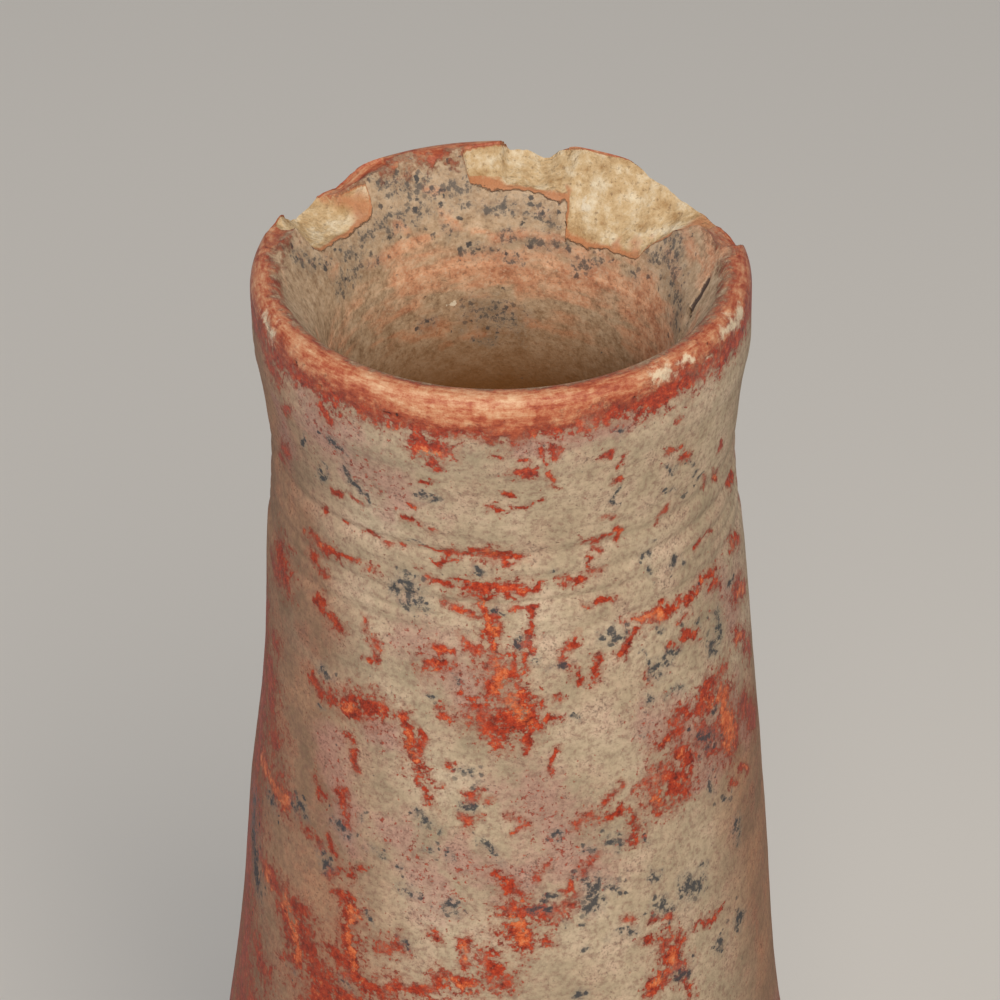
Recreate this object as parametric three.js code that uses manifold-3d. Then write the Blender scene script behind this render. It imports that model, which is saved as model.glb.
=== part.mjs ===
// A long-necked earthenware bottle, made the way a potter makes one: a slab base, a body in two halves,
// a tall neck, a waisted collar and a thick lip, each a separate ring of clay. The rings meet face to face
// on the outside. On the inside every joint is a V, filled with a luting coil.
// Millimetres, +Z up, origin at the middle of the underside.

import * as THREE from 'three';
import { mergeVertices } from 'three/addons/utils/BufferGeometryUtils.js';
import Module from 'manifold-3d';

// Heights of the sections, from the ground up
const BASE_THICKNESS = 9;
const LOWER_BODY_HEIGHT = 79;
const UPPER_BODY_HEIGHT = 62;
const NECK_LENGTH = 104;
const COLLAR_HEIGHT = 25;
const RIM_HEIGHT = 11;

// Outer radii
const FOOT_RADIUS = 33;
const WALL_ROOT_RADIUS = 37.5;
const BELLY_RADIUS = 70;
const NECK_ROOT_RADIUS = 41;
const NECK_TOP_RADIUS = 29.35;
const WAIST_RADIUS = 28.5;
const LIP_ROOT_RADIUS = 29.7;
const LIP_RADIUS = 30;

// Flare at each joint: how far the wall spreads for each millimetre that it rises
const WALL_ROOT_FLARE = 0.75;
const NECK_ROOT_FLARE = -0.19;
const NECK_TOP_FLARE = -0.1;
const LIP_ROOT_FLARE = 0.17;

// Wall thickness, square to the surface
const WALL_ROOT_WALL = 7.5;
const BELLY_WALL = 6.5;
const NECK_ROOT_WALL = 7;
const NECK_TOP_WALL = 7.6;
const LIP_ROOT_WALL = 8.4;

// Base edge and luting coils
const FOOT_EDGE = 2.5;
const LUTE_DEPTH = 3;
const LUTE_WIDTH = 6;
const LUTE_SWELL = 0.6;
const FILLET_HEIGHT = 6;
const FILLET_SPREAD = 8;
const FILLET_HOLLOW = 1.5;

// Waist and turning grooves of the collar
const WAIST_HEIGHT = 12;
const GROOVE_COUNT = 4;
const GROOVE_PITCH = 3.6;
const GROOVE_DEPTH = 0.4;
const GROOVE_START = 0.6;

// The lip: a rolled outer edge, a narrow crest and a mouth that flares out of the throat
const LIP_SWELL_HEIGHT = 2.4;
const LIP_ROLL = 2.8;
const CREST_RADIUS = 28.2;
const MOUTH_RADIUS = 26.6;
const MOUTH_DROP = 0.6;
const MOUTH_FLARE = 0.62;
const THROAT_FLARE = 0.42;

// Chips out of the lip. Angles run from +X towards +Y. Each is a shallow scoop, given by its width along
// the rim, its reach down the mouth and its bite into the clay.
const CHIPS = [
  { angle: 146, width: 15, reach: 5.2, bite: 2.3 },
  { angle: 84.5, width: 13.5, reach: 4.6, bite: 1.9 },
  { angle: 77.5, width: 4, reach: 2, bite: 2.8 },
  { angle: 49, width: 21, reach: 9.6, bite: 2.4 },
  { angle: 17, width: 7, reach: 2.2, bite: 1.7 },
];

// Facets: steps round the pot, steps along a wall and a curve, and the grain of a scoop
const TURN_STEPS = 48;
const WALL_STEPS = 7;
const CURVE_STEPS = 4;
const GROOVE_STEPS = 4;
const SCOOP_DETAIL = 3;

// Slipped, crusted and bare clay
const SLIP = { color: 0xb0714f, roughness: 0.5 };
const CRUST = { color: 0xa39279, roughness: 0.85 };
const CLAY = { color: 0xb58c66, roughness: 0.9 };

// Joints between the sections, named for what starts there
const wallRoot = {
  z: BASE_THICKNESS,
  radius: WALL_ROOT_RADIUS,
  flare: WALL_ROOT_FLARE,
  wall: WALL_ROOT_WALL,
};
const belly = {
  z: wallRoot.z + LOWER_BODY_HEIGHT,
  radius: BELLY_RADIUS,
  flare: 0,
  wall: BELLY_WALL,
};
const neckRoot = {
  z: belly.z + UPPER_BODY_HEIGHT,
  radius: NECK_ROOT_RADIUS,
  flare: NECK_ROOT_FLARE,
  wall: NECK_ROOT_WALL,
};
const neckTop = {
  z: neckRoot.z + NECK_LENGTH,
  radius: NECK_TOP_RADIUS,
  flare: NECK_TOP_FLARE,
  wall: NECK_TOP_WALL,
};
const waist = {
  z: neckTop.z + WAIST_HEIGHT,
  radius: WAIST_RADIUS,
  flare: 0,
};
const lipRoot = {
  z: neckTop.z + COLLAR_HEIGHT,
  radius: LIP_ROOT_RADIUS,
  flare: LIP_ROOT_FLARE,
  wall: LIP_ROOT_WALL,
};
const crestZ = lipRoot.z + RIM_HEIGHT;

const wasm = await Module();
wasm.setup();

const bottle = new THREE.Group();
bottle.name = 'long_necked_bottle';

// A curve in the (radius, height) plane that leaves each end at that end's flare. Its height grows evenly.
function wallLine(from, to) {
  const third = (to.z - from.z) / 3;
  return new THREE.CubicBezierCurve(
    new THREE.Vector2(from.radius, from.z),
    new THREE.Vector2(from.radius + from.flare * third, from.z + third),
    new THREE.Vector2(to.radius - to.flare * third, to.z - third),
    new THREE.Vector2(to.radius, to.z),
  );
}

// Direction into the wall, square to a surface of the given flare
function inward(flare) {
  return new THREE.Vector2(-1, flare).normalize();
}

// Foot of the V on the inside of a joint, where the two rings stop touching
function landEnd(joint) {
  const land = inward(joint.flare).multiplyScalar(joint.wall - LUTE_DEPTH);
  return new THREE.Vector2(joint.radius, joint.z).add(land);
}

// The wall's inner face, from one V to the next, at the wall's thickness from the outer line
function innerFace(line, from, to, low, high) {
  const points = [];
  for (let step = 0; step <= WALL_STEPS; step += 1) {
    const t = THREE.MathUtils.lerp(low, high, step / WALL_STEPS);
    const tangent = line.getTangent(t);
    const wall = THREE.MathUtils.lerp(from.wall, to.wall, t);
    points.push(line.getPoint(t).addScaledVector(inward(tangent.x / tangent.y), wall));
  }
  return points;
}

// Share of a section's height that half a luting coil covers
function luteShare(from, to) {
  return LUTE_WIDTH / 2 / (to.z - from.z);
}

function add(name, geometry, finish) {
  const mesh = new THREE.Mesh(geometry, new THREE.MeshStandardMaterial(finish));
  mesh.name = name;
  bottle.add(mesh);
}

// Turns a profile round the Z axis. The profile runs anticlockwise in the (radius, height) plane.
function turn(profile) {
  const closed = profile[0].x === 0 ? profile : [...profile, profile[0]];
  const geometry = new THREE.LatheGeometry(closed, TURN_STEPS);
  geometry.rotateX(Math.PI / 2);
  geometry.deleteAttribute('normal');
  geometry.deleteAttribute('uv');
  const merged = mergeVertices(geometry);
  merged.computeVertexNormals();
  return merged;
}

function toSolid(geometry) {
  return new wasm.Manifold(new wasm.Mesh({
    numProp: 3,
    vertProperties: geometry.attributes.position.array,
    triVerts: Uint32Array.from(geometry.index.array),
  }));
}

function toGeometry(solid) {
  const mesh = solid.getMesh();
  const geometry = new THREE.BufferGeometry();
  geometry.setAttribute('position', new THREE.BufferAttribute(mesh.vertProperties, 3));
  geometry.setIndex(new THREE.BufferAttribute(mesh.triVerts, 1));
  geometry.computeVertexNormals();
  return geometry;
}

// A coil of clay pressed into the V of a joint, standing a little proud of the inner face
function lute(joint, below, above) {
  const swell = new THREE.Vector2().addVectors(below, above).multiplyScalar(0.5);
  swell.addScaledVector(inward(joint.flare), LUTE_SWELL);
  return turn([landEnd(joint), above, swell, below]);
}

// Base: a slab with a rounded lower edge
const baseSide = wallLine(
  { z: FOOT_EDGE, radius: FOOT_RADIUS, flare: 0 },
  wallRoot,
).getPoints(CURVE_STEPS);
const footEdge = new THREE.EllipseCurve(
  FOOT_RADIUS - FOOT_EDGE, FOOT_EDGE, FOOT_EDGE, FOOT_EDGE, -Math.PI / 2, 0,
).getPoints(CURVE_STEPS);
add('base_disc', turn([
  new THREE.Vector2(0, 0),
  ...footEdge,
  ...baseSide.slice(1),
  new THREE.Vector2(0, wallRoot.z),
]), CLAY);

// Lower body: stands on the slab with a level face, and its inner corner is filled by a fillet coil
const lowerLine = wallLine(wallRoot, belly);
const filletShare = FILLET_HEIGHT / LOWER_BODY_HEIGHT;
const lowerInner = innerFace(lowerLine, wallRoot, belly, filletShare, 1 - luteShare(wallRoot, belly));
const corner = new THREE.Vector2(wallRoot.radius - wallRoot.wall, wallRoot.z);
add('lower_body', turn([
  corner,
  ...lowerLine.getPoints(WALL_STEPS),
  landEnd(belly),
  ...lowerInner.toReversed(),
]), CRUST);

const filletToe = new THREE.Vector2(corner.x - FILLET_SPREAD, corner.y);
const filletMiddle = new THREE.Vector2().addVectors(filletToe, lowerInner[0]).multiplyScalar(0.5);
const filletPull = new THREE.Vector2().subVectors(corner, filletMiddle).setLength(FILLET_HOLLOW);
add('base_lute', turn([
  filletToe,
  corner,
  lowerInner[0],
  filletMiddle.add(filletPull),
]), CLAY);

// Upper body: from the belly over the shoulder to the root of the neck
const upperLine = wallLine(belly, neckRoot);
const upperShare = luteShare(belly, neckRoot);
const upperInner = innerFace(upperLine, belly, neckRoot, upperShare, 1 - upperShare);
add('upper_body', turn([
  landEnd(belly),
  ...upperLine.getPoints(WALL_STEPS),
  landEnd(neckRoot),
  ...upperInner.toReversed(),
]), CRUST);
add('belly_lute', lute(belly, lowerInner.at(-1), upperInner[0]), CLAY);

// Neck: the long cone
const neckLine = wallLine(neckRoot, neckTop);
const neckShare = luteShare(neckRoot, neckTop);
const neckInner = innerFace(neckLine, neckRoot, neckTop, neckShare, 1 - neckShare);
add('neck', turn([
  landEnd(neckRoot),
  ...neckLine.getPoints(WALL_STEPS),
  landEnd(neckTop),
  ...neckInner.toReversed(),
]), CRUST);
add('shoulder_lute', lute(neckRoot, upperInner.at(-1), neckInner[0]), CLAY);

// Collar: waisted, with turning grooves round its lower part
function collarRadius(z) {
  const line = z < waist.z ? wallLine(neckTop, waist) : wallLine(waist, lipRoot);
  const [low, high] = z < waist.z ? [neckTop, waist] : [waist, lipRoot];
  return line.getPoint((z - low.z) / (high.z - low.z)).x;
}

const grooveBottom = neckTop.z + GROOVE_START;
const grooveTop = grooveBottom + GROOVE_COUNT * GROOVE_PITCH;
const collarOuter = [new THREE.Vector2(neckTop.radius, neckTop.z)];
for (let step = 0; step <= GROOVE_COUNT * GROOVE_STEPS; step += 1) {
  const z = grooveBottom + (step / GROOVE_STEPS) * GROOVE_PITCH;
  const cut = GROOVE_DEPTH * Math.sin((Math.PI * step) / GROOVE_STEPS) ** 2;
  collarOuter.push(new THREE.Vector2(collarRadius(z) - cut, z));
}
for (let step = 1; step <= CURVE_STEPS; step += 1) {
  const z = THREE.MathUtils.lerp(grooveTop, lipRoot.z, step / CURVE_STEPS);
  collarOuter.push(new THREE.Vector2(collarRadius(z), z));
}
const collarLine = wallLine(neckTop, lipRoot);
const collarShare = luteShare(neckTop, lipRoot);
const collarInner = innerFace(collarLine, neckTop, lipRoot, collarShare, 1 - collarShare);
add('collar', turn([
  landEnd(neckTop),
  ...collarOuter,
  landEnd(lipRoot),
  ...collarInner.toReversed(),
]), CRUST);
add('neck_lute', lute(neckTop, neckInner.at(-1), collarInner[0]), CLAY);

// Rim: outer face, rolled edge and crest as one path, then the flared mouth down to the throat
const lipPath = new THREE.Path();
lipPath.moveTo(lipRoot.radius, lipRoot.z);
lipPath.quadraticCurveTo(
  LIP_RADIUS, lipRoot.z + LIP_SWELL_HEIGHT / 2, LIP_RADIUS, lipRoot.z + LIP_SWELL_HEIGHT,
);
lipPath.lineTo(LIP_RADIUS, crestZ - LIP_ROLL);
lipPath.quadraticCurveTo(LIP_RADIUS, crestZ, CREST_RADIUS, crestZ);
lipPath.quadraticCurveTo(MOUTH_RADIUS + MOUTH_DROP, crestZ, MOUTH_RADIUS, crestZ - MOUTH_DROP);

const throat = new THREE.Vector2(lipRoot.radius, lipRoot.z)
  .addScaledVector(inward(lipRoot.flare), lipRoot.wall);
const mouthLine = wallLine(
  { z: throat.y, radius: throat.x, flare: THROAT_FLARE },
  { z: crestZ - MOUTH_DROP, radius: MOUTH_RADIUS, flare: MOUTH_FLARE },
);
const mouthFace = [];
for (let step = 0; step < WALL_STEPS; step += 1) {
  const t = THREE.MathUtils.lerp(luteShare(lipRoot, { z: crestZ }), 1, step / WALL_STEPS);
  mouthFace.push(mouthLine.getPoint(t));
}
const wholeRim = turn([
  landEnd(lipRoot),
  ...lipPath.getPoints(CURVE_STEPS),
  ...mouthFace.toReversed(),
]);
add('rim_lute', lute(lipRoot, collarInner.at(-1), mouthFace[0]), CLAY);

// A scoop lies along the slope of the mouth with its middle on the mouth's edge
const mouthLean = Math.atan2(MOUTH_RADIUS - throat.x, RIM_HEIGHT);
function scoop({ angle, width, reach, bite }) {
  const shape = new THREE.IcosahedronGeometry(1, SCOOP_DETAIL);
  shape.deleteAttribute('normal');
  shape.deleteAttribute('uv');
  const cutter = mergeVertices(shape);
  cutter.scale(bite, width / 2, reach);
  cutter.rotateY(mouthLean);
  cutter.translate(MOUTH_RADIUS, 0, crestZ - MOUTH_DROP);
  cutter.rotateZ(THREE.MathUtils.degToRad(angle));
  return toSolid(cutter);
}

const chippedRim = CHIPS.reduce((rim, chip) => rim.subtract(scoop(chip)), toSolid(wholeRim));
add('rim', toGeometry(chippedRim), SLIP);

export default bottle;
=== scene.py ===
# %% [markdown]
# # A chipped, long-necked bottle of slipped earthenware
# The real bottle was built wet from rings of clay, brushed with red slip and fired. Long burial left a grey
# lime crust on it, which has flaked away in places, and the lip has lost some chips. The CAD frame gives
# the rings at their real size. This lesson turns each ring into a fine mesh and then paints that history on
# it.

import math

import bmesh
import bpy
import numpy as np
from mathutils import Matrix, Vector, noise


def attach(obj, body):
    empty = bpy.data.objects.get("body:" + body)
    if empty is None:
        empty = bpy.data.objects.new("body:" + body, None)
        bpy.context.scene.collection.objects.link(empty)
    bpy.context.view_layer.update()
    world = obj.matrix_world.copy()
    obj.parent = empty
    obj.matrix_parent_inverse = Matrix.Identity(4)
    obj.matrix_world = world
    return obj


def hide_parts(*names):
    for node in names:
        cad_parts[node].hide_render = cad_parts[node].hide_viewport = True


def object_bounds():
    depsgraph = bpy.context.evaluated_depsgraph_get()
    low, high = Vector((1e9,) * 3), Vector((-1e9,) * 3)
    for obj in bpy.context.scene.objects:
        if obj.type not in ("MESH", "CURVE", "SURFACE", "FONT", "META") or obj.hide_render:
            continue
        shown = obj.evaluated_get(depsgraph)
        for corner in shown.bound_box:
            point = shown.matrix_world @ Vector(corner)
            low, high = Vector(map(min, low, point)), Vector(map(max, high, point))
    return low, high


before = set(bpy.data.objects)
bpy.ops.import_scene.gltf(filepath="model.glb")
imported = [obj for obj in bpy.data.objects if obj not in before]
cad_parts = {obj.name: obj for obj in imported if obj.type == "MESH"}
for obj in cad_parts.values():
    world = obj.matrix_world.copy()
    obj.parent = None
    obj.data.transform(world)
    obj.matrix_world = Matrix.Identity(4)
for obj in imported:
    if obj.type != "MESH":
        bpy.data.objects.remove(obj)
cad_low, cad_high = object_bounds()
MM = 0.001
CREST = cad_high.z / MM
print(f"frame: {len(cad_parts)} rings, crest at {CREST:.0f} mm")

# %% [markdown]
# ## The camera
# The photograph looks down on the mouth from a distance with a long lens, so parallel lines hardly close
# in. The camera's distance, pitch and focal length were fitted to the ellipse of the lip and to the outline
# of the neck. The bottle leans a little to the left in the picture, and a roll of the camera gives that.

# %% Place the camera
CAMERA_DISTANCE = 581.4 * MM
CAMERA_PITCH = math.radians(34.69)
CAMERA_ROLL = math.radians(-0.55)
# What the camera looks at: mm below the crest, and beside the axis
AIM_DROP = 34.4
AIM_SIDE = -0.4 * MM
LENS_MM = 170.0
SENSOR_MM = 36.0

aim = Vector((AIM_SIDE, 0.0, (CREST - AIM_DROP) * MM))
back = Vector((0.0, -math.cos(CAMERA_PITCH), math.sin(CAMERA_PITCH)))
camera = bpy.data.objects.new("camera", bpy.data.cameras.new("camera"))
bpy.context.scene.collection.objects.link(camera)
camera.data.lens = LENS_MM
camera.data.sensor_width = SENSOR_MM
tilt = Matrix.Rotation(math.pi / 2 - CAMERA_PITCH, 4, 'X')
roll = Matrix.Rotation(CAMERA_ROLL, 4, 'Z')
camera.matrix_world = Matrix.Translation(aim + back * CAMERA_DISTANCE) @ tilt @ roll
bpy.context.scene.camera = camera
print(f"camera: {CAMERA_DISTANCE:.3f} m away, lens {LENS_MM:.0f} mm")

# %% [markdown]
# ## Colours and nodes
# Colours are written as sRGB hex values, as a paint program shows them, and Blender's sockets want linear
# light, so one function converts them. One more function adds a shader node: it sets the node's properties,
# fills or links its sockets and, on a colour ramp, sets the stops. A node that is given for a socket is
# linked by the first output it has in use.

# %% Helpers for materials
def paint(hex_colour):
    channels = [int(hex_colour[i:i + 2], 16) / 255 for i in (1, 3, 5)]
    linear = [c / 12.92 if c <= 0.04045 else ((c + 0.055) / 1.055) ** 2.4 for c in channels]
    return (*linear, 1.0)


def add(tree, kind, sockets=None, stops=None, **settings):
    node = tree.nodes.new("ShaderNode" + kind)
    for name, value in settings.items():
        setattr(node, name, value)
    for name, value in (sockets or {}).items():
        if isinstance(value, bpy.types.Node):
            value = next(output for output in value.outputs if output.enabled)
        if isinstance(value, bpy.types.NodeSocket):
            tree.links.new(value, node.inputs[name])
        else:
            node.inputs[name].default_value = value
    for index, (position, hex_colour) in enumerate(stops or ()):
        elements = node.color_ramp.elements
        stop = elements[index] if index < 2 else elements.new(position)
        stop.position = position
        stop.color = paint(hex_colour)
    return node


def new_material(name):
    material = bpy.data.materials.new(name)
    material.use_nodes = True
    material.node_tree.nodes.clear()
    return material


print("helpers: paint, add, new_material")

# %% [markdown]
# ## Floor and light
# A plain pale floor carries the soft shadow. The photograph's light comes from high in front and a little
# from the right: the crest of the lip is bright, and the mouth grows dark further down. One large key lamp
# does that, a weak lamp on the left keeps the dark side readable, and a pale world fills the rest.

# %% Floor, lamps and world
FLOOR_SIZE = 8.0
FLOOR_COLOUR = "#dedad3"
FLOOR_ROUGHNESS = 0.9
SKY_COLOUR = "#e8e9ec"
SKY_STRENGTH = 0.42
# Place and width in metres, power in watts and colour of each lamp
LAMPS = {
    "key": ((0.13, -0.80, 1.02), 0.50, 10.6, "#fff6ea"),
    "fill": ((-0.90, -0.70, 0.80), 0.80, 3.0, "#eef3ff"),
}


def make_floor():
    bm = bmesh.new()
    bmesh.ops.create_grid(bm, x_segments=1, y_segments=1, size=FLOOR_SIZE / 2)
    mesh = bpy.data.meshes.new("floor")
    bm.to_mesh(mesh)
    bm.free()
    floor = bpy.data.objects.new("floor", mesh)
    bpy.context.scene.collection.objects.link(floor)
    # Matt paper gives the eye a plain ground without a shine
    material = new_material("matt paper")
    tree = material.node_tree
    shader = add(tree, "BsdfPrincipled", {"Base Color": paint(FLOOR_COLOUR), "Roughness": FLOOR_ROUGHNESS})
    add(tree, "OutputMaterial", {"Surface": shader})
    mesh.materials.append(material)


def make_lamp(name, place, width, watts, colour):
    light = bpy.data.lights.new(name, 'AREA')
    light.shape = 'DISK'
    light.size = width
    light.energy = watts
    light.color = paint(colour)[:3]
    lamp = bpy.data.objects.new(name, light)
    bpy.context.scene.collection.objects.link(lamp)
    direction = aim - Vector(place)
    turn = direction.to_track_quat('-Z', 'Y').to_matrix().to_4x4()
    lamp.matrix_world = Matrix.Translation(place) @ turn


make_floor()
for name, values in LAMPS.items():
    make_lamp(name, *values)
world = bpy.data.worlds.new("studio")
bpy.context.scene.world = world
world.use_nodes = True
sky = world.node_tree.nodes["Background"].inputs
sky["Color"].default_value = paint(SKY_COLOUR)
sky["Strength"].default_value = SKY_STRENGTH
bpy.context.scene.view_settings.view_transform = 'Standard'
print("stage: floor, key, fill and world")

# %% [markdown]
# ## Outlines of the rings
# Each CAD ring is a turned shape, so its whole form is in one cut through the wall. A copy of the CAD mesh
# is merged, turned so that the unchipped front lies on +X, and cut by the XZ plane with both sides thrown
# away. What is left is the closed outline. Points that two rings share belong to a joint, and the smoothing
# in the next step leaves them in place.

# %% Cut the outlines
# Points nearer to each other than this, in metres, are one point
CLOSE = 1e-6


def cut_outline(node):
    bm = bmesh.new()
    bm.from_mesh(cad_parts[node].data)
    bmesh.ops.remove_doubles(bm, verts=bm.verts, dist=CLOSE)
    front_to_x = Matrix.Rotation(math.pi / 2, 3, 'Z')
    bmesh.ops.rotate(bm, cent=(0, 0, 0), matrix=front_to_x, verts=bm.verts)
    everything = bm.verts[:] + bm.edges[:] + bm.faces[:]
    bmesh.ops.bisect_plane(
        bm, geom=everything, dist=CLOSE, plane_co=(0, 0, 0), plane_no=(0, 1, 0),
        clear_inner=True, clear_outer=True,
    )
    behind = [v for v in bm.verts if v.co.x < -CLOSE]
    bmesh.ops.delete(bm, geom=behind, context='VERTS')
    return bm


def place_key(vert):
    return round(vert.co.x / MM, 2), round(vert.co.z / MM, 2)


outlines = {node: cut_outline(node) for node in sorted(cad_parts)}
owners = {}
for node, outline in outlines.items():
    for vert in outline.verts:
        owners.setdefault(place_key(vert), set()).add(node)
joint_places = {place for place, nodes in owners.items() if len(nodes) > 1}
print(f"outlines: {len(outlines)}, with {len(joint_places)} shared joint points")

# %% [markdown]
# ## From outline to fine ring
# The outside gets close rows of points, because the finish is painted on them, and the inside gets wider
# ones. The CAD curves are chains of straight steps, so the free points are smoothed until the steps are
# gone. Then a spin makes one sector of the ring, and doubling the sector four times closes the ring. Spin
# can turn a shape inside out, so doubles are merged first and the normals recalculated after.

# %% Refine and spin a ring
def outside_edges(outline):
    """The edges from the lowest outer joint point up the outside to the next joint point."""
    joints = [v for v in outline.verts if place_key(v) in joint_places]
    middle = sum(v.co.z for v in outline.verts) / len(outline.verts)
    vert = max((v for v in joints if v.co.z < middle), key=lambda v: v.co.x)
    edge = next(e for e in vert.link_edges if place_key(e.other_vert(vert)) not in joint_places)
    chain = []
    while edge is not None:
        chain.append(edge)
        vert = edge.other_vert(vert)
        onward = [e for e in vert.link_edges if e is not edge]
        edge = None if place_key(vert) in joint_places else onward[0]
    return chain


def refine(outline, seen, unseen, inside, rounds, free_outside=True):
    """Splits the free edges to the given spacings in mm and smooths the free points."""
    outside = outside_edges(outline) if free_outside else []
    for edge in outline.edges[:]:
        if all(place_key(v) in joint_places for v in edge.verts):
            continue
        low = CREST - edge.verts[0].co.z / MM > PICTURE_DROP
        spacing = inside if edge not in outside else unseen if low else seen
        cuts = int(edge.calc_length() / (spacing * MM))
        if cuts:
            bmesh.ops.subdivide_edges(outline, edges=[edge], cuts=cuts)
    free = [v for v in outline.verts if place_key(v) not in joint_places and len(v.link_edges) == 2]
    for _ in range(rounds):
        bmesh.ops.smooth_vert(outline, verts=free, factor=SMOOTHING, use_axis_x=True, use_axis_z=True)


def spin_ring(name, outline, steps):
    """Spins one sector of the ring and doubles it until the ring is closed."""
    sector = math.tau / 2 ** DOUBLINGS
    bmesh.ops.spin(
        outline, geom=outline.verts[:] + outline.edges[:], cent=(0, 0, 0), axis=(0, 0, 1),
        angle=sector, steps=steps // 2 ** DOUBLINGS,
    )
    for doubling in range(DOUBLINGS):
        everything = outline.verts[:] + outline.edges[:] + outline.faces[:]
        copy = bmesh.ops.duplicate(outline, geom=everything)["geom"]
        turn = Matrix.Rotation(sector * 2 ** doubling, 3, 'Z')
        corners = [part for part in copy if isinstance(part, bmesh.types.BMVert)]
        bmesh.ops.rotate(outline, cent=(0, 0, 0), matrix=turn, verts=corners)
    bmesh.ops.remove_doubles(outline, verts=outline.verts, dist=CLOSE)
    bmesh.ops.recalc_face_normals(outline, faces=outline.faces)
    mesh = bpy.data.meshes.new(name)
    outline.to_mesh(mesh)
    outline.free()
    piece = bpy.data.objects.new(name, mesh)
    bpy.context.scene.collection.objects.link(piece)
    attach(piece, "root")
    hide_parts(name)
    return piece


DOUBLINGS = 4
# How far a free point goes towards its neighbours' middle in one round
SMOOTHING = 0.5
# How far below the crest the photograph reaches, in mm
PICTURE_DROP = 100.0
# Spacing outside where the photograph looks, elsewhere outside and inside in mm, smoothing rounds, steps
RINGS = {
    "rim": (0.18, 0.18, 0.3, 8, 720),
    "collar": (0.28, 0.28, 0.8, 50, 600),
    "neck": (0.55, 1.2, 4.0, 60, 480),
    "upper_body": (1.1, 1.1, 3.0, 30, 360),
    "lower_body": (1.1, 1.1, 3.0, 30, 360),
}
LUTES = ("rim_lute", "neck_lute", "shoulder_lute", "belly_lute", "base_lute")
# Spacing in mm and smoothing rounds of the pieces that have no free outside
PLAIN_RINGS = {**dict.fromkeys(LUTES, (0.6, 60)), "base_disc": (1.0, 2)}
PLAIN_STEPS = 360

pieces = {}
for name, (seen, unseen, inside, rounds, steps) in RINGS.items():
    refine(outlines[name], seen, unseen, inside, rounds)
    pieces[name] = spin_ring(name, outlines[name], steps)
for name, (spacing, rounds) in PLAIN_RINGS.items():
    refine(outlines[name], spacing, spacing, spacing, rounds, free_outside=False)
    pieces[name] = spin_ring(name, outlines[name], PLAIN_STEPS)
for name, piece in pieces.items():
    print(f"{name}: {len(piece.data.polygons)} faces")

# %% [markdown]
# ## Where a point is
# Everything that follows is placed as a potter would point at it: so many degrees round from the front, or
# from the back on the inside, and so many millimetres below the crest of the lip. These functions give that
# for all points of a mesh at once.

# %% Read and write points
def read_points(piece):
    points = np.empty(len(piece.data.vertices) * 3, np.float32)
    piece.data.vertices.foreach_get("co", points)
    return points.reshape(-1, 3).astype(float) / MM


def write_points(piece, points):
    piece.data.vertices.foreach_set("co", (points * MM).astype(np.float32).ravel())
    piece.data.update()


def read_normals(piece):
    normals = np.empty(len(piece.data.vertices) * 3, np.float32)
    piece.data.vertex_normals.foreach_get("vector", normals)
    return normals.reshape(-1, 3).astype(float)


def ring_place(points):
    """Degrees from the front and the back, both growing to the right, mm below the crest and radius."""
    x, y, z = points.T
    front = np.degrees(np.arctan2(x, -y))
    behind = np.degrees(np.arctan2(x, y))
    return front, behind, CREST - z, np.hypot(x, y)


def outward_share(piece, points):
    """How far each point's normal looks away from the axis, from -1 to 1."""
    normals = read_normals(piece)
    radius = np.maximum(np.hypot(points[:, 0], points[:, 1]), TINY)
    return (normals[:, 0] * points[:, 0] + normals[:, 1] * points[:, 1]) / radius


def noise_at(points, size):
    """Noise from about -1 to 1 whose lumps are `size` mm across."""
    return np.array([noise.noise(p) for p in points / size])


def ease(low, high, values):
    """Zero up to `low`, one from `high` on and a smooth step between."""
    t = np.clip((values - low) / (high - low), 0.0, 1.0)
    return t * t * (3.0 - 2.0 * t)


# Keeps a division from failing on the axis
TINY = 1e-6
# Points times this give noise that is the same at every height
LEVEL = np.array((1.0, 1.0, 0.0))
facing = {name: outward_share(piece, read_points(piece)) for name, piece in pieces.items()}
print("points are read in mm: degrees round, drop below the crest, radius")

# %% [markdown]
# ## Chips
# Each chip is a break that starts on the slope of the mouth and comes out near the outer edge of the lip.
# It is written down as rows round the rim: degrees from the back, the drop where it starts on the mouth,
# the drop where it comes out and the radius there. Points above that sloping break are dropped on to it,
# which leaves a clean height field with no folds. Some noise makes it a fracture and not a plane. Older
# breaks, which use has rubbed smooth, are cut first in the same way and keep their slip.

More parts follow.
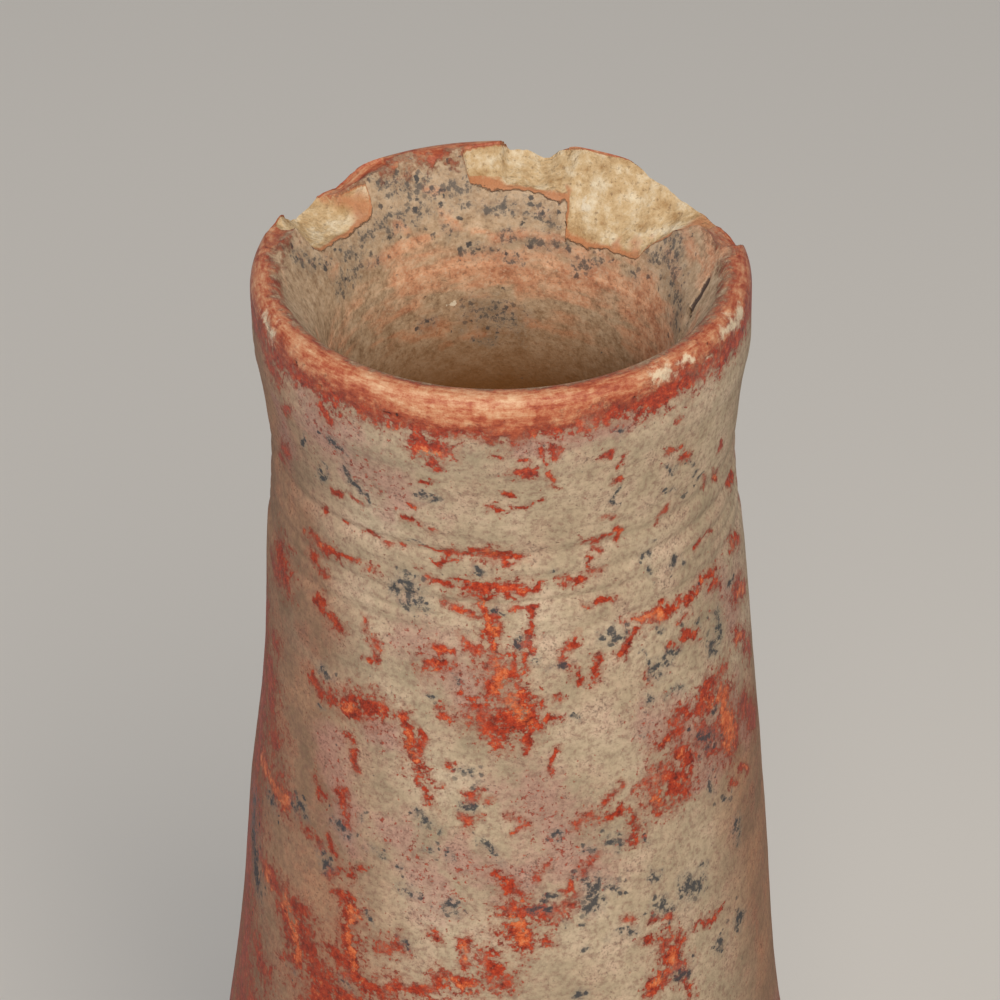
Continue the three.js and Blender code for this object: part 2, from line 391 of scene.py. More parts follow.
# %% Break the chips out of the rim
LEFT_CHIP = (
    (-68.4, 1.2, 1.2, 29.6),
    (-67.4, 3.4, 1.3, 29.6),
    (-64.5, 4.7, 1.4, 29.6),
    (-62.0, 4.8, 2.1, 29.8),
    (-59.5, 4.9, 3.0, 30.3),
    (-56.5, 4.9, 3.7, 30.3),
    (-53.0, 4.9, 3.6, 30.3),
    (-50.0, 4.8, 3.1, 30.3),
    (-47.0, 4.7, 2.8, 29.6),
    (-45.5, 4.6, 2.0, 27.2),
    (-41.0, 4.3, 1.9, 26.5),
    (-39.6, 3.4, 1.8, 26.4),
    (-38.6, 1.9, 1.7, 26.4),
)
RIGHT_CHIP = (
    (-9.6, 0.7, 0.5, 27.0),
    (-8.8, 3.8, 0.7, 27.5),
    (-2.0, 4.1, 0.5, 28.0),
    (0.5, 4.2, 0.7, 28.6),
    (2.2, 4.2, 1.9, 30.2),
    (6.8, 4.4, 1.9, 30.2),
    (8.7, 4.4, 2.4, 30.3),
    (10.5, 4.5, 2.9, 30.3),
    (12.5, 4.5, 2.7, 30.3),
    (14.4, 4.6, 1.6, 30.0),
    (17.0, 4.7, 1.3, 29.6),
    (19.5, 4.8, 0.6, 29.0),
    (20.4, 5.2, 0.4, 28.8),
    (21.4, 9.2, 0.3, 28.7),
    (30.0, 9.4, 0.3, 28.8),
    (33.0, 9.3, 0.9, 29.4),
    (36.0, 9.2, 1.6, 30.0),
    (38.0, 9.1, 2.1, 30.3),
    (42.5, 8.8, 2.5, 30.3),
    (47.4, 8.6, 3.6, 30.3),
    (50.0, 8.2, 3.7, 30.3),
    (52.0, 6.6, 3.8, 30.3),
    (56.0, 5.2, 3.8, 30.3),
    (59.0, 3.6, 3.9, 30.3),
    (62.0, 2.6, 3.8, 30.3),
)
# The rubbed breaks: behind the left chip, at its left end and at the right chip's right end
RUBBED_BREAKS = (
    (
        (-58.0, 0.4, 2.6, 30.3),
        (-42.4, 0.8, 2.8, 30.3),
        (-40.0, 0.8, 2.3, 30.2),
        (-38.0, 0.7, 1.7, 30.0),
        (-36.0, 0.5, 1.1, 29.6),
        (-30.0, 0.2, 0.4, 28.8),
    ),
    (
        (-82.0, 0.2, 0.2, 28.4),
        (-76.0, 0.4, 0.8, 29.2),
        (-71.0, 0.8, 1.3, 29.8),
        (-66.0, 0.8, 1.3, 29.8),
    ),
    (
        (61.0, 2.8, 3.8, 30.3),
        (64.0, 2.0, 3.7, 30.3),
        (67.0, 1.4, 3.6, 30.3),
        (70.0, 1.2, 3.7, 30.3),
        (75.0, 1.0, 3.6, 30.3),
        (77.5, 0.9, 2.7, 30.3),
        (80.0, 0.7, 1.4, 30.0),
        (82.5, 0.4, 0.6, 28.8),
    ),
)
# How far a break's ends wander, in degrees, and its lower edge waves, in mm, with the size of each noise
BREAK_WANDER, WANDER_SIZE = 0.5, 1.3
BREAK_WAVE, WAVE_SIZE = 0.3, 2.4
# Height and sizes of the grain on the break, and how far the break sags between its edges, in mm
BREAK_GRAIN, GRAIN_SIZE, FINE_GRAIN_SIZE = 0.25, 2.6, 0.8
BREAK_SAG = 0.45
# Depth that is stored where nothing is broken
UNBROKEN = -2.0
# Past this share of its width a break counts as deep, so that it is cream and not orange
HEART_SHARE = 0.3
HEART_DEPTH = 2.0
# Least width of a break in mm, and the share of its width over which the grain comes in
NARROWEST_BREAK = 0.05
GRAIN_EDGE = (0.0, 0.2)
# Where the mouth's slope is read: degrees either side of the front, and how far it has to face the axis
FRONT_HALF, MOUTH_FACING = 0.6, -0.2


def mouth_line():
    """Radius of the mouth's slope for each drop, read at the unchipped front of the rim and its lute."""
    drops, radii = [], []
    for name in ("rim", "rim_lute"):
        front, _, drop, radius = ring_place(read_points(pieces[name]))
        on_mouth = (np.abs(front) < FRONT_HALF) & (facing[name] < MOUTH_FACING)
        drops.append(drop[on_mouth])
        radii.append(radius[on_mouth])
    order = np.argsort(np.concatenate(drops))
    return np.concatenate(drops)[order], np.concatenate(radii)[order]


def break_chip(points, rows, slope):
    """Drops the points above the break on to it; returns their depth, below zero just past the break."""
    _, behind, drop, radius = ring_place(points)
    wander = behind + BREAK_WANDER * noise_at(points, WANDER_SIZE)
    turns, start, leave, reach = np.array(rows).T
    low = np.interp(wander, turns, start) + BREAK_WAVE * noise_at(points * LEVEL, WAVE_SIZE)
    high = np.interp(wander, turns, leave)
    outer = np.interp(wander, turns, reach)
    inner = np.interp(low, *slope)
    share = (radius - inner) / np.maximum(outer - inner, NARROWEST_BREAK)
    hollow = BREAK_SAG * 4.0 * share * (1.0 - share)
    grain = noise_at(points, GRAIN_SIZE) + 0.5 * noise_at(points, FINE_GRAIN_SIZE)
    grain = BREAK_GRAIN * grain * ease(*GRAIN_EDGE, share)
    depth = low + (high - low) * share + hollow + grain - drop
    near = (wander > turns[0]) & (wander < turns[-1]) & (share < 1.0)
    depth = np.where(near & (share > 0.0), depth, np.where(near, np.minimum(depth, 0.0), UNBROKEN))
    points[:, 2] -= np.maximum(depth, 0.0)
    heart = (depth > 0.0) & (share > HEART_SHARE)
    return np.where(heart, HEART_DEPTH, np.maximum(depth, UNBROKEN))


rim_drop = CREST - read_points(pieces["rim"])[:, 2]
slope = mouth_line()
break_depth = {}
for name in ("rim", "rim_lute"):
    points = read_points(pieces[name])
    for rows in RUBBED_BREAKS:
        break_chip(points, rows, slope)
    left = break_chip(points, LEFT_CHIP, slope)
    right = break_chip(points, RIGHT_CHIP, slope)
    break_depth[name] = np.maximum(left, right)
    write_points(pieces[name], points)
    print(f"{name}: {np.count_nonzero(break_depth[name] > 0)} points in breaks")

# %% [markdown]
# ## Turning grooves and an uneven wall
# A turned collar has grooves that come and go as the tool is pressed, so each groove's depth follows a slow
# noise round the pot. The clay itself is never quite round: a slow swell and a finer lumpiness move every
# point in or out, and in three places the soft neck was pressed in. All of it depends on the place alone,
# so rings that touch move together at their joint.

# %% Cut the grooves and roughen every ring
# Drop, half width and depth of each groove, in mm
GROOVES = (
    (20.4, 0.7, 0.14),
    (22.8, 0.8, 0.36),
    (26.7, 0.8, 0.42),
    (29.6, 0.6, 0.32),
    (31.6, 0.5, 0.20),
    (34.2, 0.9, 0.40),
)
# Moves the noise on from groove to groove
GROOVE_ROW = np.array((0.0, 0.0, 40.0))
# How hard the tool is pressed: mean, swing, limits and the length of a press in mm
PRESS_MEAN, PRESS_SWING, PRESS_LIMITS, PRESS_LENGTH = 0.65, 0.75, (0.1, 1.4), 18.0
# How far a groove wanders up and down, and over what length, in mm
GROOVE_WANDER, WANDER_LENGTH = 0.25, 25.0
# Size and height of the lumps in mm, from the slow swell to the grit
LUMPS = ((42.0, 0.22), (7.0, 0.07), (1.7, 0.022))
# Where a hand pressed the soft neck in: degrees from the front, drop, half angle, half height, depth in mm
DENTS = (
    (-92.0, 57.0, 42.0, 17.0, 1.15),
    (-88.0, 94.0, 40.0, 16.0, 0.45),
    (92.0, 112.0, 50.0, 22.0, 1.0),
)
# Grooves are cut only where the wall faces outwards, and close to the axis points move less
OUTWARD = 0.5
AXIS_RADIUS = 10.0


def cut_grooves(piece, outward):
    points = read_points(piece)
    _, _, drop, radius = ring_place(points)
    cut = np.zeros(len(points))
    for row, (height, half, depth) in enumerate(GROOVES):
        press = PRESS_MEAN + PRESS_SWING * noise_at(points * LEVEL + GROOVE_ROW * row, PRESS_LENGTH)
        wave = height + GROOVE_WANDER * noise_at(points * LEVEL - GROOVE_ROW * row, WANDER_LENGTH)
        cut += depth * np.clip(press, *PRESS_LIMITS) * np.exp(-((drop - wave) / half) ** 2)
    cut *= outward > OUTWARD
    points[:, :2] *= (1.0 - cut / radius)[:, None]
    write_points(piece, points)


def roughen(piece):
    points = read_points(piece)
    front, _, drop, radius = ring_place(points)
    push = sum(height * noise_at(points, size) for size, height in LUMPS)
    for turn, height, half_angle, half_height, depth in DENTS:
        away = np.mod(front - turn + 180.0, 360.0) - 180.0
        push -= depth * np.exp(-(away / half_angle) ** 2 - ((drop - height) / half_height) ** 2)
    points[:, :2] *= (1.0 + push / np.maximum(radius, AXIS_RADIUS))[:, None]
    write_points(piece, points)


cut_grooves(pieces["collar"], facing["collar"])
for piece in pieces.values():
    roughen(piece)
print(f"grooves: {len(GROOVES)}, and every ring is a little out of round")

# %% [markdown]
# ## Patches of slip on the side that the photograph shows
# The crust has flaked off the slip in patches and streaks. These are placed as brush strokes on the
# unrolled
# wall: two ends, each in degrees from the front and drop below the crest, and a half width in mm.

# %% Strokes of slip
SLIP_STROKES = (
    # Drips and flecks under the lip
    (-44.5, 5.5, -42.5, 7.4, 0.8), (-20, 6.6, -12.5, 7.0, 1.1), (-16.8, 8.6, -14.2, 9.8, 0.6),
    (-68, 6.0, -62, 6.8, 1.2), (2.0, 9.7, 6.6, 9.9, 0.65), (4.2, 8.0, 5.6, 8.6, 0.45),
    (8.0, 6.4, 10.6, 10.6, 0.25), (10.4, 6.4, 11.6, 8.0, 0.4), (10.6, 10.0, 11.0, 11.2, 0.45),
    (10.8, 11.8, 11.0, 12.6, 0.35), (-2.8, 7.9, -1.4, 7.9, 0.3), (0.0, 13.0, 2.2, 13.4, 0.35),
    (-3.6, 15.4, -1.2, 15.6, 0.5), (-1.0, 15.4, 9.5, 14.8, 0.24), (-19, 12.0, -17, 12.2, 0.4),
    (-22.6, 15.6, -20.6, 16.2, 0.35), (22.0, 9.1, 23.6, 9.2, 0.32), (26.6, 11.6, 28.8, 10.2, 0.42),
    (25.2, 13.9, 27.4, 13.8, 0.34), (42.6, 8.3, 44.6, 8.1, 0.3), (41.4, 12.1, 45.2, 12.7, 0.36),
    (46.2, 14.8, 48.8, 15.6, 0.42), (23.8, 18.3, 26.4, 19.0, 0.32), (63.6, 18.2, 65.8, 18.6, 0.42),
    (-43.8, 18.7, -41.2, 18.7, 0.45), (-37.8, 18.8, -36.4, 18.9, 0.3), (-25.2, 19.0, -20.4, 19.2, 0.36),
    (-17.4, 19.4, -15.6, 19.5, 0.3), (-64.8, 18.6, -62.6, 17.6, 0.8), (-71.5, 21.8, -67.6, 20.6, 0.6),
    (-60, 11.4, -57, 9.8, 0.6),
    # In the turning grooves
    (-47.4, 22.0, -48.8, 23.6, 0.34), (-42.4, 22.8, -41.2, 22.9, 0.3), (-35.2, 23.3, -33.0, 22.8, 0.42),
    (-30, 22.9, -27.8, 22.8, 0.34), (-25.2, 22.6, -23.8, 22.9, 0.36), (-20, 22.7, -14, 22.5, 0.24),
    (-14.4, 22.5, 1.6, 22.4, 0.5), (-5, 23.1, 2.4, 22.8, 0.85), (-15.2, 23.9, -10.8, 23.9, 0.3),
    (0.0, 23.9, 1.6, 24.3, 0.4), (19.4, 22.2, 26.2, 22.4, 0.5), (21.0, 23.0, 22.8, 24.4, 0.3),
    (28.2, 21.6, 28.8, 23.6, 0.4), (20.0, 24.2, 21.8, 26.0, 0.25), (40.0, 22.3, 42.4, 21.5, 0.34),
    (57.0, 21.0, 58.0, 22.0, 0.42), (61.8, 21.3, 65.4, 23.0, 0.46), (-53.5, 27.7, -44, 28.0, 0.8),
    (-44, 27.3, -37.6, 27.2, 0.36), (-34.6, 27.7, -32.6, 27.2, 0.7), (-58, 28.0, -57, 28.0, 0.4),
    (-19.4, 26.7, -13.6, 27.5, 0.55), (-14, 26.6, -8, 26.6, 0.26), (-8.6, 27.5, 0.5, 27.0, 0.85),
    (0, 27.0, 4.8, 27.2, 0.8), (4.8, 27.1, 8.2, 27.2, 0.4), (12.4, 27.0, 14.8, 27.1, 0.38),
    (16.8, 26.8, 19.8, 27.0, 0.46), (21.2, 26.4, 24.6, 26.8, 0.46), (0.4, 28.3, 2.8, 28.9, 0.4),
    (18.2, 30.8, 19.6, 31.0, 0.46), (20.8, 30.8, 26.4, 31.1, 0.44), (53.4, 29.3, 60.4, 29.6, 0.34),
    (74, 27.0, 79.5, 27.6, 0.6), (-53.6, 30.2, -51.6, 30.7, 0.75), (-51.2, 31.1, -47.6, 31.5, 0.65),
    (-63.6, 32.7, -62, 32.7, 0.42), (-13.8, 29.9, -5, 31.6, 0.5),
    # The column down the front
    (-4.4, 28.6, -3.8, 30.8, 0.85), (-3.4, 30.6, -2.6, 34.4, 0.75), (-3.4, 34.2, -2.4, 36.6, 1.0),
    (-2.8, 36.4, -1.8, 41.0, 1.4), (0.0, 38.0, 2.6, 41.0, 1.2), (1.0, 42.0, 5.4, 44.2, 1.4),
    (-5.8, 45.2, -1, 46.8, 1.9), (0, 45.0, 6, 45.6, 1.4), (-3.6, 48.5, -2.2, 49.2, 0.6),
    (4.6, 47.4, 5.8, 49.4, 0.6), (2.0, 30.4, 6.6, 30.2, 0.32), (6.0, 30.2, 6.0, 33.8, 0.36),
    (6.0, 33.6, 4.6, 38.8, 0.45), (3.2, 36.0, 1.2, 38.8, 0.5), (-18.4, 38.8, -13.2, 38.2, 1.1),
    (-18, 36.2, -14, 35.6, 0.5), (-10.4, 34.4, -5.6, 36.2, 0.5), (-11.4, 42.2, -5.6, 42.0, 0.45),
    (-16, 44.6, -12, 45.4, 0.5), (-8, 43.4, -4, 43.8, 0.6),
    # The streak on the right and the patch below it
    (30.6, 35.2, 40, 35.2, 0.7), (40, 35.3, 52, 35.6, 0.62), (52, 35.2, 60.5, 35.4, 0.55),
    (57.6, 36.5, 62.4, 37.7, 0.36), (31.6, 36.4, 27.4, 38.9, 0.75), (14.4, 36.5, 17.4, 35.1, 0.5),
    (12.4, 38.1, 14.4, 36.5, 0.45), (12.3, 38.6, 15.6, 39.3, 0.45), (16.3, 39.5, 16.9, 40.8, 0.4),
    (22.0, 38.4, 21.0, 41.4, 0.75), (40.4, 40.2, 42.8, 40.9, 0.5), (46.2, 39.8, 50.6, 41.1, 0.54),
    (43.8, 37.8, 47.8, 37.8, 0.4), (12.0, 42.5, 13.2, 42.8, 0.42), (10.8, 45.3, 13.6, 45.8, 0.42),
    (33.5, 42.9, 34.3, 44.2, 0.45), (71.6, 41.6, 79.5, 44.2, 1.3), (71, 34.5, 77.4, 36.7, 0.65),
    (11.1, 50.2, 10.1, 52.6, 0.42), (0.8, 58.5, 3.6, 59.3, 0.4), (1.2, 61.3, 4.8, 60.5, 0.4),
    (16.2, 61.5, 19.2, 60.3, 0.75), (22.4, 58.7, 26.6, 56.5, 0.5), (21.4, 60.9, 26.8, 60.3, 0.55),
    (29.5, 62.2, 29.9, 66.0, 0.8), (31.8, 58.0, 37.2, 58.2, 0.8), (34.4, 60.4, 36.6, 62.0, 1.4),
    (37.8, 57.8, 43.2, 61.2, 1.7), (39.8, 62.7, 42.6, 62.6, 0.8), (36.2, 53.0, 42.2, 53.4, 1.0),
    (42.8, 50.7, 45.6, 51.7, 1.0), (41.8, 56.3, 47.2, 58.2, 1.2), (48.8, 51.4, 53.2, 51.7, 1.5),
    (53, 50.0, 60.4, 49.5, 1.3), (49.8, 54.9, 53.8, 56.8, 1.7), (55.8, 52.3, 60.2, 54.2, 1.3),
    (52.4, 58.9, 55.2, 59.5, 0.7), (59.4, 52.8, 62.2, 60.8, 2.0), (64.8, 60.1, 68.4, 59.5, 0.7),
    (68.8, 47.3, 73.2, 49.1, 0.9), (74.8, 50.8, 80.4, 53.2, 1.3), (66.2, 66.3, 71.2, 68.7, 0.5),
    (60.6, 66.5, 63.2, 67.7, 0.45), (70, 58.0, 80, 64.0, 1.6),
    # Left of the column
    (-70, 35.0, -65, 37.0, 1.8), (-74, 38.0, -69, 37.4, 1.4), (-47.4, 35.8, -41.6, 37.6, 0.85),
    (-50.4, 35.4, -48.4, 35.8, 0.4), (-35.8, 35.0, -34.4, 36.4, 0.42), (-32, 37.2, -31.0, 39.4, 0.65),
    (-33.2, 40.1, -30.8, 39.8, 0.55), (-50.8, 47.6, -46.8, 48.0, 0.9), (-43.4, 48.0, -38, 48.4, 1.0),
    (-38.4, 47.4, -30.6, 46.8, 1.7), (-24.6, 46.2, -23.2, 48.6, 0.9), (-23.0, 48.4, -20.2, 53.6, 1.0),
    (-19.2, 48.4, -19.4, 52.2, 0.55), (-19.8, 55.5, -17.4, 56.2, 0.5), (-18, 56.2, -17, 58.4, 0.5),
    (-18.4, 54.2, -13.8, 54.9, 0.3), (-39.4, 52.5, -37.4, 53.0, 0.4), (-36.8, 54.2, -35.6, 56.8, 0.45),
    (-13.0, 52.2, -11.8, 52.2, 0.45), (-8.0, 56.0, -5.6, 56.2, 0.55), (-4.8, 56.6, -2.4, 56.8, 0.34),
    (-10.6, 58.5, -9.2, 60.0, 0.48), (-8.8, 60.5, -6.8, 59.1, 0.5), (-9.6, 61.6, -8.2, 61.8, 0.42),
    (-48.4, 61.0, -45.2, 63.2, 0.7), (-39.6, 61.0, -37.8, 65.0, 0.7), (-51.4, 69.5, -49.2, 70.1, 0.65),
    (-47.2, 69.9, -46.2, 70.8, 0.5), (-43.2, 68.5, -40.8, 70.2, 0.6), (-42.8, 73.3, -40.2, 72.3, 0.65),
    (-39.6, 72.3, -35.8, 72.0, 0.5), (-35.4, 71.3, -33.8, 70.1, 0.48), (-72.4, 48.4, -68.4, 48.2, 1.1),
    (-75, 54.5, -69, 62.5, 2.8), (-75, 68.4, -59.6, 68.0, 2.0), (-86, 48.0, -79, 78.0, 3.4),
    # Low on the left
    (-39.8, 76.0, -35.6, 75.1, 0.7), (-36.4, 76.4, -35.6, 86.0, 1.4), (-37.8, 78.0, -37.4, 81.4, 0.7),
    (-28.8, 81.1, -24.2, 80.1, 1.1), (-17.6, 76.8, -15.2, 77.4, 0.5), (-70, 81.5, -48, 82.4, 1.4),
    (-58, 83.0, -52, 89.5, 1.5), (-48.8, 86.0, -43, 91.2, 2.4), (-40, 84.2, -34.6, 87.2, 1.2),
    (-32.4, 87.6, -23.6, 86.0, 1.0), (-20.4, 86.3, -15.2, 84.5, 0.8), (-15, 82.9, -7.6, 84.6, 1.0),
    (-9.2, 77.2, -8.3, 81.4, 0.6), (-4.6, 79.8, -0.8, 83.6, 1.4), (-58.5, 92.0, -52.6, 90.3, 0.7),
    (-70.5, 94.8, -64.6, 97.2, 1.8), (-84, 82.0, -76, 108.0, 4.0), (-42, 92.6, -11, 91.6, 4.0),
    (-70, 104.0, -20, 106.0, 2.6),
    # Low on the right
    (-1.8, 67.6, -0.2, 70.0, 0.7), (0.0, 69.3, 1.8, 70.5, 0.7), (0.4, 72.5, 6.2, 73.0, 1.3),
    (0.8, 75.5, 3.2, 77.2, 1.5), (6.8, 74.0, 11.8, 73.1, 1.0), (10.2, 75.3, 12.8, 74.5, 0.65),
    (7.8, 76.9, 9.2, 78.1, 0.5), (10.4, 72.9, 14.8, 71.5, 0.65), (6.8, 68.3, 9.6, 66.3, 0.45),
    (12.8, 70.8, 14.8, 69.3, 0.45), (16.4, 67.1, 18.8, 65.9, 0.5), (17.2, 68.8, 18.6, 67.5, 0.45),
    (25.4, 76.9, 27.2, 77.9, 0.46), (33.4, 78.3, 37.6, 79.1, 0.55), (31.2, 81.3, 36, 82.0, 0.6),
    (34.8, 82.3, 39.2, 83.5, 1.0), (44.4, 82.3, 48.8, 83.5, 0.6), (49, 83.4, 54.4, 83.2, 0.4),
    (36, 84.5, 38.8, 87.2, 1.3), (32.4, 88.6, 35.2, 87.3, 1.0), (39.2, 89.8, 41.6, 91.8, 0.8),
    (30, 98.0, 44, 104.0, 1.6),
)
print(f"strokes of slip: {len(SLIP_STROKES)}")

# %% [markdown]
# ## Orange cores and black specks
# The heart of a patch, where the crust came off last, is orange. The specks gather in clusters. Both are
# strokes of the same kind as the slip.

# %% Strokes of orange and specks
EMBER_STROKES = (
    (-4.6, 22.6, -1.4, 22.9, 0.55), (-4.4, 28.8, -3.6, 30.2, 0.4), (-3.2, 31.0, -2.6, 36.0, 0.45),
    (-2.4, 37.0, -1.4, 41.0, 0.7), (1.4, 42.4, 4.6, 45.6, 1.0), (-15.0, 36.8, -16.4, 39.6, 0.26),
    (-18.8, 7.8, -14.6, 7.5, 0.5), (31.8, 35.2, 39.6, 35.2, 0.5), (28.4, 29.7, 30.6, 30.4, 0.34),
    (59.8, 53.0, 62.0, 60.6, 1.8), (40.8, 56.3, 44.2, 57.3, 0.55), (34.6, 61.0, 36.2, 61.8, 0.6),
    (52.4, 51.2, 55.2, 53.2, 0.45), (38, 53.0, 41, 53.6, 0.4), (-74, 68.3, -59.2, 68.1, 1.5),
    (-68.4, 83.2, -65.2, 82.2, 1.3), (-57.6, 82.8, -52.6, 84.4, 1.0), (-53.8, 84.4, -52, 89.4, 0.95),
    (-35.9, 77.4, -35.3, 85.6, 0.8), (-23.0, 48.8, -20.6, 53.0, 0.5), (-41, 48.2, -35, 47.4, 0.5),
    (1.4, 73.8, 3.4, 77.6, 0.9), (-13.2, 83.3, -8.4, 84.7, 0.45), (-9.0, 77.6, -8.5, 80.6, 0.4),
    (36.6, 85.0, 38.2, 86.8, 0.6), (33, 88.3, 34.6, 87.6, 0.5), (72.6, 42.0, 78.6, 43.6, 0.8),
    (69.2, 47.6, 72.8, 48.8, 0.6), (62.2, 21.5, 65, 22.8, 0.34), (67, 66.7, 70.8, 68.5, 0.34),
)
SOOT_STROKES = (
    # Under the lip
    (-42, 10.6, -38.5, 11.4, 0.9), (-18.8, 14.6, -16.6, 14.9, 0.75), (-53.6, 14.6, -51.8, 12.2, 0.34),
    (-46.6, 14.8, -45.8, 16.2, 0.28), (-38.4, 14.0, -34.4, 17.2, 0.8), (-48.4, 17.2, -47.0, 17.4, 0.6),
    (25.2, 6.4, 27, 6.7, 0.5), (41.6, 18.4, 42.8, 18.9, 0.45), (43.4, 19.0, 45, 19.4, 0.26),
    (51.4, 18.7, 52.8, 18.9, 0.36), (47.6, 20.4, 49, 20.5, 0.28), (52.8, 20.4, 56, 20.2, 0.26),
    (49.4, 16.4, 50.8, 17.0, 0.3), (41.6, 15.3, 42.6, 15.5, 0.34), (44, 15.4, 45.4, 15.4, 0.28),
    (27.3, 15.3, 27.6, 17.2, 0.28),
    # In the grooves
    (-24.4, 28.2, -20.8, 30.2, 1.2), (-27, 29.0, -24, 31.0, 0.8), (-23.4, 27.0, -22.6, 27.0, 0.4),
    (-21.4, 21.8, -20.4, 22.0, 0.32), (-6.2, 25.4, -5.2, 25.0, 0.45), (-1.8, 30.4, -0.8, 30.8, 0.42),
    (37.4, 24.6, 38.2, 24.7, 0.34), (35.2, 26.6, 36.4, 26.9, 0.5), (35.8, 28.6, 37.2, 29.8, 0.55),
    (44.2, 29.8, 45.6, 29.3, 0.46), (48.2, 30.0, 48.8, 30.2, 0.3), (11.4, 25.0, 12.4, 25.4, 0.4),
    (4.2, 34.2, 4.8, 35.4, 0.5), (6.6, 37.2, 7.6, 37.4, 0.42), (9, 38.6, 12.4, 38.8, 0.5),
    # On the right
    (24.6, 35.4, 28.6, 36.4, 0.8), (34.1, 39.2, 34.3, 41.8, 0.4), (36.2, 42.6, 38.6, 43.0, 1.0),
    (40.6, 41.8, 44, 41.6, 0.7), (38.6, 36.8, 39.6, 37.4, 0.5), (45, 38.4, 46.2, 38.8, 0.42),
    (51.4, 39.8, 52.4, 40.4, 0.42), (67.2, 38.8, 68.8, 39.4, 0.7), (58.8, 40.4, 59.6, 44.0, 0.7),
    (56, 44.2, 57.4, 45.2, 1.0), (52.6, 34.9, 53.2, 35.1, 0.34), (34.4, 45.8, 35.8, 46.2, 0.5),
    (43.2, 47.0, 44.8, 47.4, 0.7), (41, 47.3, 41.8, 47.5, 0.45), (31.4, 50.7, 32.4, 50.9, 0.42),
    (15.6, 45.7, 16.6, 45.8, 0.42), (60, 45.0, 60.6, 45.2, 0.6), (50.6, 55.6, 53.6, 57.2, 1.2),
    (54.6, 53.6, 55.4, 53.8, 0.45), (48.4, 59.0, 50, 59.2, 0.45), (51.4, 63.2, 52.8, 65.2, 0.7),
    (56.4, 67.6, 60.2, 68.2, 0.48), (61.2, 72.4, 62.2, 75.8, 0.7), (10.2, 62.2, 11.4, 62.6, 0.55),
    (23.4, 64.2, 25.2, 65.6, 1.0), (17, 64.6, 18.4, 65.0, 0.6), (17.8, 73.4, 19.2, 69.8, 1.2),
    (21, 71.0, 22.8, 71.6, 1.1), (5.8, 72.6, 7.6, 73.0, 0.8), (8, 71.2, 9.8, 71.2, 0.7),
    (11.8, 75.2, 13, 75.2, 0.55), (33.8, 71.4, 34.8, 72.2, 0.7), (32, 66.4, 33, 66.8, 0.45),
    (35.2, 76.4, 37, 77.6, 1.1), (42.4, 76.0, 44.8, 77.2, 1.4), (47.8, 74.8, 48.8, 75.2, 0.65),
    (26.4, 79.2, 27.8, 79.6, 0.75), (22.6, 78.2, 23.6, 78.6, 0.5), (16, 79.6, 17.4, 79.4, 0.45),
    (14.6, 85.8, 15.6, 86.2, 0.55), (38.6, 88.4, 40.8, 88.8, 1.1), (51, 88.2, 53, 88.8, 0.9),
    (59, 87.4, 61.6, 88.0, 1.0),
    # On the left
    (-47.4, 45.0, -45.4, 45.6, 1.0), (-47.4, 50.4, -46.6, 50.8, 0.55), (-66.4, 71.2, -64.8, 71.6, 0.9),
    (-57, 67.8, -55.4, 68.2, 0.85), (-45, 71.8, -43.4, 72.6, 0.85), (-54, 66.8, -52, 67.2, 0.9),
    (-39.8, 65.8, -37.6, 66.4, 0.9), (-30.8, 67.2, -29.8, 67.6, 0.65), (-34.2, 63.4, -33.4, 62.4, 0.4),
    (-25.4, 68.4, -24.6, 68.0, 0.42), (-22.6, 71.3, -21.2, 71.9, 0.75), (-32.2, 77.2, -31.2, 77.6, 0.48),
    (-22.4, 79.4, -21.4, 79.6, 0.5), (-17.6, 64.3, -16.4, 64.7, 0.48), (-19.4, 60.2, -18.2, 61.0, 0.65),
    (-15.8, 61.9, -14.8, 62.1, 0.48), (-12.6, 65.4, -11.6, 65.6, 0.5), (-9.6, 57.6, -7.6, 57.2, 0.75),
    (-9.2, 52.8, -7.2, 52.8, 0.7), (-6.8, 54.6, -4.6, 54.4, 0.36), (-5.4, 62.2, -3.6, 64.4, 0.48),
    (-1.8, 65.6, -0.6, 66.0, 0.55), (-12.8, 72.2, -11.2, 73.0, 0.75), (-17.6, 42.6, -16.4, 42.8, 0.5),
    (-11.4, 39.9, -10.6, 40.1, 0.45), (-36, 88.6, -34.4, 88.8, 0.65), (-53, 91.8, -51.6, 92.2, 0.6),
    (-79, 76.0, -72, 86.0, 2.0),
)
print(f"strokes of orange: {len(EMBER_STROKES)}, of specks: {len(SOOT_STROKES)}")

# %% [markdown]
# ## Thin crust, bare spots and pits
# The same strokes also say where the crust is thin or brown and where the lip is bare or pitted. The brown
# on the neck's sides is partly painted shade, and the bare spots on the lip's crest are partly painted
# highlight.

# %% Strokes of thin crust, bare clay with painted highlight, pits and brown crust with painted shade
# Where the crust is thin and lets the slip through as a mauve wash
MAUVE_STROKES = (
    (-46, 9.0, -26, 15.0, 4.0), (-20, 36.0, -8, 41.0, 3.6), (4, 6.2, 27, 6.4, 1.2),
    (-31, 50.0, -28, 51.0, 1.8), (-10, 66.0, 4, 68.0, 3.0), (44, 62.0, 50, 62.5, 1.6),
    (62, 37.0, 70, 44.0, 3.0), (-44, 54.0, -38, 66.0, 2.6), (66, 55.0, 70, 62.0, 2.5),
    (6, 56.0, 16, 68.0, 4.0), (-64, 12.0, -62, 17.0, 2.0), (36, 50.0, 58, 60.0, 4.0),
    (-24, 64.0, -14, 72.0, 3.0),
)
